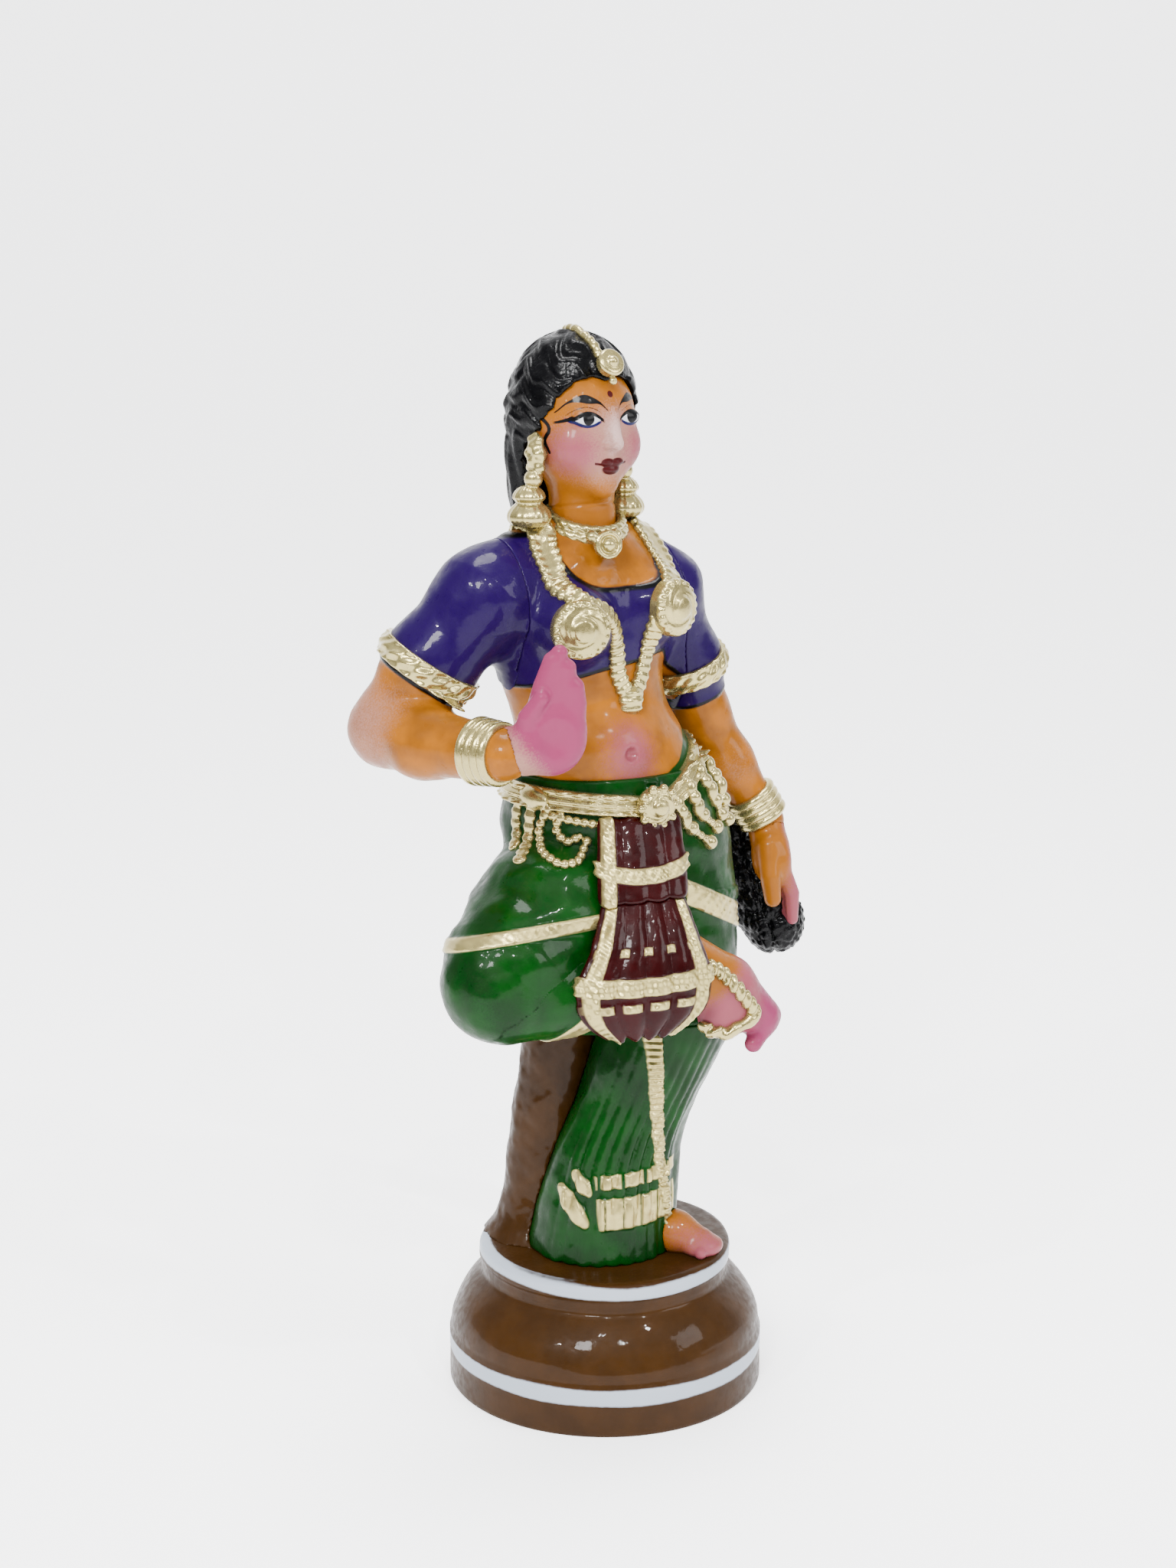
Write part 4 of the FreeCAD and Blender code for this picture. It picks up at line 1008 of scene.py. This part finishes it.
RAISED = [(2, -30.5, 131), (17, -33.0, 121.5), (27.0, -35.0, 111.5)]
ANKLET = [(3.0, -36.0, 131.0), (8.0, -39.0, 129.4), (12.5, -39.8, 125.6), (16.8, -40.6, 120.4), (20.0, -40.2, 115.6),
          (16.7, -40.6, 112.8), (11.5, -39.5, 111.0), (5.0, -37.5, 111.5)]


def raised_foot_field(p):
    d = limb(p, RAISED, [8.8, 8.0, 6.2], 3.0)
    d = smin(d, egg(p, (15.5, -35.0, 114.5), (8.5, 6.0, 7.0)), 3.0)
    for i in range(5):
        toe = vec(23.0 + 2.0 * i, -38.2 + 0.5 * i, 105.0 + 1.6 * i)
        d = smin(d, ball(p, toe, 2.4), 1.5)
    return d


def build_feet():
    def raised(p):
        return np.maximum(raised_foot_field(p), 0.1 - shin_field(p))

    sculpt(
        "raised_foot", raised, (-4, -45, 97), (36, -22, 142), 0.4, ["raised_foot"],
        (PINK, "skin"),
        [(ORANGE, 3.5, lambda p: p[:, 0] * 0.9 - p[:, 2] + 112.5), (HOT_PINK, 3.0, lambda p: 21 - p[:, 0] + 0.3 * (p[:, 2] - 108))],
    )

    def standing(p):
        d = limb(p, [(7, -12, 47), (11, -19, 46), (15, -25, 44)], [6.2, 5.8, 4.2], 2.0)
        d = smin(d, egg(p, (15.6, -26.3, 43.0), (6.0, 4.6, 3.2)), 1.5)
        for i in range(5):
            toe = vec(12.0 + 2.0 * i, -29.6 + 1.0 * i, 42.6)
            d = smin(d, ball(p, toe, 1.7 - 0.08 * i), 0.7)
        d = np.maximum(d, 41.0 - p[:, 2])
        return np.maximum(d, 0.1 - leg_field(p))

    sculpt(
        "standing_foot", standing, (0, -35, 40.5), (26, -6, 56), 0.35, ["standing_foot"],
        (ORANGE, "skin"), [(PINK, 5.0, lambda p: 24.0 + p[:, 1] + 0.2 * p[:, 0])],
    )


# ---------------------------------------------------------------- apron

APRON_TURN = math.atan2(-0.23, 1.0)
TIER_ROWS = [(150, -10.2, -32.0, 13.4, 3.8), (160, -8.4, -28.5, 13.0, 3.4), (171, -6.2, -24.0, 12.2, 2.6)]
FAN_ROWS = [(114.3, -16.0, -39.0, 9.0, 2.6), (120, -15.6, -39.5, 16.5, 4.2), (128, -15.2, -39.0, 19.3, 4.5),
            (140, -12.8, -36.5, 15.2, 3.9), (153, -9.7, -30.5, 10.5, 2.8)]


def spun(p, turn):
    c, s = math.cos(turn), math.sin(turn)
    return np.stack([p[:, 0] * c + p[:, 1] * s, -p[:, 0] * s + p[:, 1] * c, p[:, 2]], 1)


def spun_rows(rows, turn):
    c, s = math.cos(turn), math.sin(turn)
    return [(z, x * c + y * s, -x * s + y * c, wide, deep) for z, x, y, wide, deep in rows]


TIER = spun_rows(TIER_ROWS, APRON_TURN)
FAN = spun_rows(FAN_ROWS, APRON_TURN)


def apron_share(p, rows):
    """Where a point is across the apron, -1 to 1."""
    qx, _, wide, _ = loft_place(spun(p, APRON_TURN), rows)
    return qx / wide


def tier_field(p):
    share = apron_share(p, TIER)
    d = loft(spun(p, APRON_TURN), TIER, 1.6)
    return d - 0.45 * (np.abs(np.sin(share * 6.5)) - 0.5) - 0.12 * lumps(p, 6, 12)


def fan_field(p):
    share = apron_share(p, FAN)
    d = loft(spun(p, APRON_TURN), FAN, 2.0)
    scallop = 0.8 * np.abs(np.sin(share * 7.5 + 0.4))
    d = np.maximum(d, 115.5 - scallop - p[:, 2])
    return d - 1.05 * (np.abs(np.sin(share * 7.5 + 0.4)) - 0.55) - 0.12 * lumps(p, 6, 13)


def fan_gold(p):
    share, z = apron_share(p, FAN), p[:, 2]
    edge = (np.abs(np.abs(share) - 0.84) - 0.10) * 12
    edge = np.maximum(edge, z - 151)
    main = slab(z - 130.6 + 1.0 * (1 - share**2), 2.3)
    dash = np.abs(np.sin(share * 7.5 + 0.4)) * 2 - 1.0
    upper = np.maximum(slab(z - 138.6, 0.9), dash)
    lower = np.maximum(slab(z - 124.3, 1.0), dash * -1)
    return np.minimum.reduce([edge, main, upper, np.maximum(lower, np.abs(share) - 0.8)])


def tier_gold(p):
    share, z = apron_share(p, TIER), p[:, 2]
    edge = (np.abs(share + 0.80) - 0.13) * 10
    smile = slab(z - 159.0 + 2.2 * (1 - share**2), 1.9)
    return np.minimum(edge, smile)


def build_apron():
    def lifted(field, gold):
        def shape(p):
            rough = 0.25 * np.sin(p[:, 0] * 2.4) * np.sin(p[:, 2] * 2.1)
            return field(p) - step_in(gold(p), 0.4) * (0.6 + rough)
        return shape

    maroon = (MAROON, "varnish")
    tier = lifted(tier_field, tier_gold)
    fan = lifted(fan_field, fan_gold)
    sculpt(
        "apron_tier", lambda p: np.maximum(tier(p), 0.1 - leg_field(p)), (-25, -40, 148), (9, -16, 173),
        0.4, ["apron_tier"], maroon, [(GOLD, 0.25, tier_gold)],
    )
    sculpt(
        "apron_fan", lambda p: np.maximum(fan(p), 0.1 - np.minimum(tier(p), cloth(p))),
        (-38, -49, 112), (8, -20, 155), 0.4, ["apron_fan"], maroon,
        [(GOLD, 0.25, fan_gold)],
    )


# ---------------------------------------------------------------- jewellery

def lay(spots, under, rise=0.0, count=30):
    """A smooth line whose points are moved onto a surface, or a little over it."""
    return settle(lambda q: under(q) - rise, route(spots, count), 6, 3.0)


def ribbon(p, line, half, rise, under, pitch=2.2, edge=0.35):
    """A band of relief that hugs the clay: beaded at its edges, ridged in the middle."""
    off, where = along(p, line)
    size = half(where) if callable(half) else half
    share = off / size
    row = edge * (0.5 + 0.5 * np.cos(where * 2 * math.pi / pitch)) * np.exp(-(((share - 0.72) / 0.22) ** 2))
    mid = edge * 0.8 * np.exp(-((share / 0.30) ** 2)) * (0.6 + 0.4 * np.cos(where * 2 * math.pi / (pitch * 1.7)))
    over = under(p)
    d = smax(over - rise - row - mid, off - size - 0.25 * np.cos(where * 2 * math.pi / pitch), 0.7)
    return np.maximum(d, -over - 0.7)


def gold_piece(name, field, lo, hi, step=0.33, layers=()):
    sculpt(name, field, lo, hi, step, [name], (GOLD, "gold"), layers)


CHOKER_TILT = (0, -0.30, 1)
RIGHT_STRAND = [(-17, 13, 244), (-19.5, 5, 243), (-21.4, -4, 238), (-22.3, -11, 232.2), (-19.0, -17, 228.2),
                (-11.5, -17, 224.0), (-7.2, -14, 216.7), (-5.6, -13.2, 208.1), (-1.6, -13.2, 199.8)]
LEFT_STRAND = [(9, 12, 245), (13.5, 2, 241.0), (15.0, -6, 235.0), (9.5, -15, 229), (5.6, -16, 222), (4.2, -12.6, 213.3),
               (2.4, -12.6, 206.1), (-1.6, -13.2, 199.8)]


def chest(p):
    return body_field(p) - 0.55


def build_necklaces():
    right = lay(RIGHT_STRAND, chest, 0.0, 40)
    left = lay(LEFT_STRAND, chest, 0.0, 40)

    def wide(where):
        return np.interp(where, [0, 20, 40, 60, 75], [4.2, 3.9, 2.9, 2.4, 2.4])

    def garland(p):
        d = smin(ribbon(p, right, wide, 1.3, chest, 2.4), ribbon(p, left, wide, 1.3, chest, 2.4), 0.6)
        drop = egg(p, right[-1], (3.6, 2.4, 4.2))
        return smin(d, drop - 0.25 * np.cos(p[:, 2] * 2.6), 0.8)

    gold_piece("long_necklace", garland, (-28, -26, 194), (22, 20, 252))

    centre = vec(-4.6, 3.6, 247.6)
    pendant = vec(-7.6, -11.3, 243.0)
    out = unit((-0.2, -0.97, 0.15))

    def choker(p):
        q = p - centre
        n = unit(CHOKER_TILT)
        h = q @ n
        flat = np.sqrt(np.maximum((q * q).sum(1) - h * h, 0))
        turn = np.arctan2(q[:, 1], q[:, 0])
        twist = 0.28 * np.sin(turn * 26 + h * 2.2)
        rope = np.hypot(flat - 10.7, h + 0.9) - 1.55 - 0.3 * twist
        upper = np.hypot(flat - 9.9, h - 1.4) - 1.35 - 0.3 * twist
        d = smin(rope, upper, 0.4)
        disc = smax(np.abs((p - pendant) @ out) - 1.0, ball(p, pendant, 3.9), 0.7)
        d = smin(d, disc, 0.5)
        rim = ring(p, pendant + out * 0.9, out, 3.1, 0.75 + 0.15 * twist)
        d = smin(d, rim, 0.3)
        d = smin(d, egg(p, pendant + out * 0.8, (2.0, 1.9, 2.0)), 0.3)
        for s in (-1, 1):
            d = smin(d, ball(p, pendant + vec(3.9 * s, 1.6, 2.3), 1.7), 0.8)
        return np.maximum(d, -head_field(p) - 0.6)

    gold_piece("choker", choker, (-19, -15, 238), (9, 16, 255), 0.28)


def disc_field(p, centre, out, radius, rise):
    """A domed boss with a bead rim, two grooves and a middle stud."""
    axes = facing(out)
    q = (p - vec(*centre)) @ axes.T
    reach = np.hypot(q[:, 0], q[:, 2])
    turn = np.arctan2(q[:, 2], q[:, 0])
    share = np.clip(reach / radius, 0, 1.2)
    dome = rise * np.sqrt(np.clip(1.15 - share**2, 0, 2))
    dome = dome + 1.0 * step_in(share - 0.42, 0.10) * np.sqrt(np.clip(1 - (share / 0.55) ** 2, 0, 1))
    dome = dome + 0.25 * np.sin(turn * 3 + share * 9) * step_in(np.abs(share - 0.66) - 0.14, 0.06)
    dome = dome + 0.25 * np.cos(turn * 20) * step_in(np.abs(share - 0.92) - 0.08, 0.05)
    return smax(smax(q[:, 1] - dome, reach - radius, 0.9), -q[:, 1] - 2.5, 0.3)


def build_discs():
    for side, breast, out, reach in (
        ("right", BREAST_R, (-0.34, -0.94, 0.05), 11.3),
        ("left", BREAST_L, (0.22, -0.97, 0.06), 10.9),
    ):
        centre = vec(*breast) + unit(out) * reach

        def disc(p, centre=centre, out=out):
            return np.maximum(disc_field(p, centre, out, 7.9, 2.6), -chest(p) - 0.5)

        gold_piece(f"{side}_chest_disc", disc, centre - 10, centre + 10, 0.28)


def build_earrings():
    for side, mirror in (("right", -1), ("left", 1)):
        ear = vec(-21.5, 3.0, 266.0) if side == "right" else vec(7.8, 6.0, 266.0)

        def earring(p, ear=ear, mirror=mirror):
            q = p - ear
            q[:, 0] = q[:, 0] * mirror
            leaf = egg(q, (0.0, -1.0, 0.5), (2.3, 3.6, 6.0)) - 0.35 * np.sin(q[:, 2] * 1.5) * np.sin(q[:, 1] * 1.3)
            d = smin(leaf, ball(q, (1.2, -1.6, -5.6), 2.5), 0.8)
            z = q[:, 2]
            reach = np.hypot(q[:, 0] - 1.8, q[:, 1] + 0.4)
            turn = np.arctan2(q[:, 1] + 0.4, q[:, 0] - 1.8)
            sizes = np.array([4.8, 5.8, 5.6, 4.4, 3.6, 4.4, 3.6, 2.2])
            heights = np.array([-18.0, -16.6, -14.4, -12.9, -12.2, -10.6, -8.8, -7.6])
            wide = curve(np.clip(z, -18.0, -7.6), heights, sizes) + 0.08 * np.cos(turn * 16)
            bell = smax(reach - wide, np.abs(z + 12.8) - 5.4, 0.8)
            bell = smax(bell, -egg(q, (1.8, -0.4, -18.6), (3.4, 3.4, 2.4)), 0.4)
            return np.maximum(smin(d, bell, 0.6), -head_field(p) - 1.0)

        lo = ear + vec(-6, -7, -20) - vec(4 if mirror < 0 else 0, 0, 0)
        gold_piece(f"{side}_earring", earring, lo, ear + vec(11, 7, 9), 0.28)


def build_forehead():
    chain = lay([(-6, -9.8, 290.5), (-6, -5, 295.5), (-6, 2, 298.5), (-6, 10, 298.8)], hair_field, 0.4)
    boss = vec(-6.0, -9.9, 290.6)
    out = unit((0, -0.85, 0.45))

    def ornament(p):
        off, where = along(p, chain)
        d = off - 1.3 - 0.12 * np.cos(where * 2.6)
        d = smin(d, smax(ball(p, boss, 3.6), np.abs((p - boss) @ out) - 1.8, 0.8), 0.5)
        d = smin(d, ball(p, boss + out * 1.3, 1.7), 0.3)
        d = smin(d, ring(p, boss + out * 0.9, out, 3.0, 0.8), 0.3)
        d = smin(d, ball(p, boss + vec(0, -1.5, -4.4), 1.1), 0.3)
        return np.maximum(d, -np.minimum(hair_field(p), head_field(p)) - 0.8)

    gold_piece("forehead_ornament", ornament, (-12, -17, 282), (0, 14, 300.3), 0.28)


def arm_band(p, spot, way, half, core, rise):
    """Twisted rows round an arm."""
    q = p - vec(*spot)
    h = q @ way
    turn = np.arctan2(q @ np.cross(way, vec(0, 0, 1)), q @ np.cross(way, np.cross(way, vec(0, 0, 1))))
    rows = 0.35 * np.cos(h * math.pi / half * 1.5) + 0.22 * np.sin(turn * 18 + h * 1.6)
    over = core(p)
    d = smax(over - rise - rows, np.abs(h) - half, 0.6)
    return np.maximum(np.maximum(d, -over - 0.7), np.linalg.norm(q, axis=1) - 19)


def build_arm_gold():
    for side, arm, core in (("right", ARM_R, right_arm_field), ("left", ARM_L, left_arm_field)):
        way = unit(vec(*arm[2]) - vec(*arm[1]))
        spot = vec(*arm[1]) + (way * 2.0 if side == "left" else way)
        gold_piece(
            f"{side}_armlet",
            lambda p, spot=spot, way=way, core=core: arm_band(p, spot, way, 3.1, core, 1.9),
            spot - 17, spot + 17, 0.33,
        )
        way = unit(vec(*arm[4]) - vec(*arm[3]))
        wrist = vec(*arm[4]) - way * 5.0
        sizes = (7.9, 7.7, 7.5, 7.3) if side == "right" else (6.6, 6.6, 6.5, 6.4)

        def rings(p, wrist=wrist, way=way, sizes=sizes):
            d = None
            for i, size in enumerate(sizes):
                one = ring(p, wrist + way * (i - 1.5) * 2.35, way, size, 1.28)
                d = one if d is None else np.minimum(d, one)
            return d

        gold_piece(f"{side}_bangles", rings, wrist - 13, wrist + 13, 0.33)
    rope = lay(ANKLET, raised_foot_field, 0.5, 40)
    centre = vec(12.0, -37.0, 120.0)

    def anklet(p):
        off, where = along(p, rope)
        side = (p - centre) @ unit((0.7, 0.1, 0.7))
        d = off - 1.85 - 0.35 * np.sin(where * 2.2 + side * 1.4)
        return np.maximum(np.maximum(d, -raised_foot_field(p) - 0.8), 0.1 - fan_field(p))

    gold_piece("anklet", anklet, centre - 14, centre + 14, 0.33)


def hips(p):
    return smin(cloth(p), trunk_field(p), 1.0)


def belt_height(p):
    across = np.array([-30.0, -10.0, 0.0, 10.0, 22.0, 32.0])
    return curve(np.clip(p[:, 0], -30, 32), across, np.array([176.3, 174.0, 173.2, 177.0, 183.5, 187.0]))


def build_belt():
    def belt(p):
        over = hips(p)
        h = p[:, 2] - belt_height(p)
        turn = np.arctan2(p[:, 1], p[:, 0])
        rows = 0.4 * np.cos(h * 2.9) + 0.3 * np.sin(turn * 40) * step_in(np.abs(np.abs(h) - 2.1) - 0.5, 0.2)
        d = smax(over - 1.5 - rows, np.abs(h) - 2.9, 0.6)
        return np.maximum(d, -over - 0.7)

    gold_piece("belt", belt, (-36, -32, 168), (40, 30, 192), 0.4)
    out = unit((-0.12, -0.99, 0.0))

    def buckle(p):
        axes = facing(out)
        centre = vec(-2.2, -27.2, 173.6)
        d = disc_field(p, centre, out, 5.2, 1.9)
        for i in range(10):
            a = 2 * math.pi * i / 10
            spot = centre + axes[0] * 5.2 * math.cos(a) + axes[2] * 5.2 * math.sin(a) + out * 0.3
            d = smin(d, ball(p, spot, 1.25), 0.3)
        return d

    gold_piece("buckle", buckle, (-11, -33, 166), (6, -22, 184), 0.28)


def build_swags():
    over = hips
    right = [
        beads_line([(-26.8, -11.2, 173.2), (-28.7, -10, 167.2), (-31.2, -15.1, 162.3), (-29.6, -20.5, 159.8),
                    (-24.5, -21.4, 160.4), (-19.8, -19.2, 165.1)], over),
        beads_line([(-25.0, -14.2, 172.0), (-26.0, -14.0, 168.0), (-24.5, -16.4, 165.0), (-21.5, -18.2, 166.4)], over),
        beads_line([(-27.4, -10.9, 172.0), (-23.0, -16.1, 170.7), (-18.1, -19.8, 169.7), (-12.5, -22.3, 168.8)], over),
    ]
    ribbons = [
        lay([(-29.8, -2.0, 174.0), (-30.7, -1.5, 168.0), (-33.0, -4.0, 162.0)], over, 0.0, 10),
        lay([(-29.5, -7.0, 173.9), (-30.7, -7.0, 165.5), (-36.5, -12.0, 160.7)], over, 0.0, 10),
    ]
    left = [
        beads_line([(5.8, -23.7, 174.0), (7.5, -24.2, 170.4), (11.3, -24.1, 165.1), (18.0, -23.4, 160.1)], over),
        beads_line([(11.0, -21.5, 178.0), (12.5, -22.6, 173.0), (16.0, -22.6, 168.0), (22.0, -20.8, 163.3)], over),
        beads_line([(17.0, -17.5, 181.0), (19.0, -18.8, 175.5), (22.0, -19.0, 170.5), (25.5, -18.0, 166.0)], over),
        beads_line([(23.5, -13.0, 182.0), (26.0, -14.9, 175.7), (27.8, -16.0, 169.3), (30.4, -15.2, 163.2)], over),
    ]
    drops = [line[at] for line in left for at in (9, 19, 29)]
    leaves = [line[at] for line in left for at in (5, 14)]

    def right_swag(p):
        d = np.minimum.reduce([beads(p, line, 1.3, 2.2) for line in right])
        d = smin(d, egg(p, (-28.2, -6.0, 175.5), (3.0, 6.0, 3.4)), 0.8)
        for line in ribbons:
            d = np.minimum(d, ribbon(p, line, 1.7, 0.9, over, 3.0, 0.2))
        return np.maximum(d, -over(p) - 0.7)

    def left_swag(p):
        d = np.minimum.reduce([beads(p, line, 1.2, 2.1) for line in left])
        for spot in drops:
            d = smin(d, ball(p, spot, 2.1), 0.3)
        for spot in leaves:
            d = smin(d, egg(p, spot, (1.9, 1.8, 2.9)), 0.3)
        return np.maximum(d, -over(p) - 0.7)

    gold_piece("right_belt_swag", right_swag, (-42, -32, 154), (-8, 6, 181), 0.36)
    gold_piece("left_belt_swag", left_swag, (0, -32, 155), (38, -6, 189), 0.36)


def beads_line(spots, under):
    return lay(spots, under, 0.6, 30)


def build_inner():
    """Plain materials of the hidden and underside CAD nodes."""
    looks = {
        "base_plate": (0.42, 0.33, 0.22), "neck_peg": (0.45, 0.29, 0.13), "leg_rod": (0.45, 0.29, 0.13),
        "stump_peg": (0.45, 0.29, 0.13), "right_arm_wire": (0.3, 0.3, 0.3), "left_arm_wire": (0.3, 0.3, 0.3),
    }
    for node, colour in looks.items():
        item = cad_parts[node]
        item.data.materials.clear()
        item.data.materials.append(painted(node, (colour, "skin"), []))


# ---------------------------------------------------------------- stage

def build_stage():
    """A pale floor that curves up behind the doll."""
    lines = [(-2.5, 0.0), (-0.8, 0.0), (0.5, 0.0), (0.9, 0.0), (1.25, 0.03), (1.5, 0.16), (1.62, 0.4), (1.66, 1.0), (1.66, 3.0)]
    away = unit((0.574, 0.819, 0))
    side = unit((0.819, -0.574, 0))
    points, faces = [], []
    for i, (d, z) in enumerate(lines):
        for s in (-3, 3):
            points.append((away * d + side * s + vec(0, 0, z)) / MM)
        if i:
            faces.append((2 * i - 2, 2 * i - 1, 2 * i + 1, 2 * i))
    floor = new_object("floor", np.array(points), np.array(faces))
    floor.modifiers.new("round", "SUBSURF").levels = 3
    material = bpy.data.materials.new("floor_paint")
    n = Nodes(material)
    shader = n.add("ShaderNodeBsdfPrincipled")
    n.link(n.mix(n.noise(400.0), (0.93, 0.93, 0.94), (0.95, 0.95, 0.955)), shader.inputs["Base Color"])
    shader.inputs["Roughness"].default_value = 0.9
    shader.inputs["Emission Color"].default_value = (1, 1, 1, 1)
    shader.inputs["Emission Strength"].default_value = 1.3
    n.link(shader.outputs[0], n.add("ShaderNodeOutputMaterial").inputs["Surface"])
    floor.data.materials.append(material)


def build_light():
    def area(name, place, target, size, power, colour=(1, 1, 1)):
        data = bpy.data.lights.new(name, "AREA")
        data.size, data.energy, data.color = size, power, colour
        item = bpy.data.objects.new(name, data)
        bpy.context.scene.collection.objects.link(item)
        place, target = np.array(place, float), np.array(target, float)
        item.location = place
        from mathutils import Vector
        item.rotation_euler = Vector(target - place).to_track_quat("-Z", "Y").to_euler()

    centre = (0, 0, 0.16)
    area("key", (-0.95, -0.75, 1.05), centre, 0.30, 26)
    area("fill", (0.75, -1.15, 0.75), centre, 0.6, 14)
    area("top", (0.1, 0.2, 1.5), centre, 0.5, 26)
    for i, (x, y, z) in enumerate(((-0.35, -1.0, 0.95), (-0.9, -0.25, 0.8), (-0.6, -0.8, 1.3), (0.15, -0.9, 1.2))):
        area(f"spark_{i}", (x, y, z), centre, 0.02, 6.0)
    world = bpy.data.worlds.new("studio")
    bpy.context.scene.world = world
    n = Nodes(world)
    back = n.add("ShaderNodeBackground")
    parts = n.add("ShaderNodeSeparateXYZ")
    n.link(n.add("ShaderNodeTexCoord").outputs["Generated"], parts.inputs[0])
    back.inputs[0].default_value = (0.95, 0.96, 1.0, 1)
    n.link(n.ramp(parts.outputs["Z"], -0.1, 0.9, 0.35, 1.15), back.inputs[1])
    n.link(back.outputs[0], n.add("ShaderNodeOutputWorld").inputs["Surface"])


def build_camera():
    """Set from the plinth: 720 mm away, 35 degrees to the doll's right, looking 13 degrees down."""
    turn, down = math.radians(-35), math.radians(13.1)
    away = vec(-math.sin(turn), math.cos(turn), 0)
    side = vec(math.cos(turn), math.sin(turn), 0)
    data = bpy.data.cameras.new("camera")
    data.lens, data.sensor_width = 61.27, 36.0
    item = bpy.data.objects.new("camera", data)
    bpy.context.scene.collection.objects.link(item)
    item.location = (away * -720 + side * -4.9 + vec(0, 0, 342)) * MM
    item.rotation_euler = (math.pi / 2 - down, 0, turn)
    bpy.context.scene.camera = item


def main():
    build_camera()
    build_light()
    build_stage()
    build_plinth()
    build_stump()
    build_cloth()
    build_body()
    build_head()
    build_plait()
    build_hands()
    build_feet()
    build_apron()
    build_necklaces()
    build_discs()
    build_earrings()
    build_forehead()
    build_arm_gold()
    build_belt()
    build_swags()
    build_inner()


main()
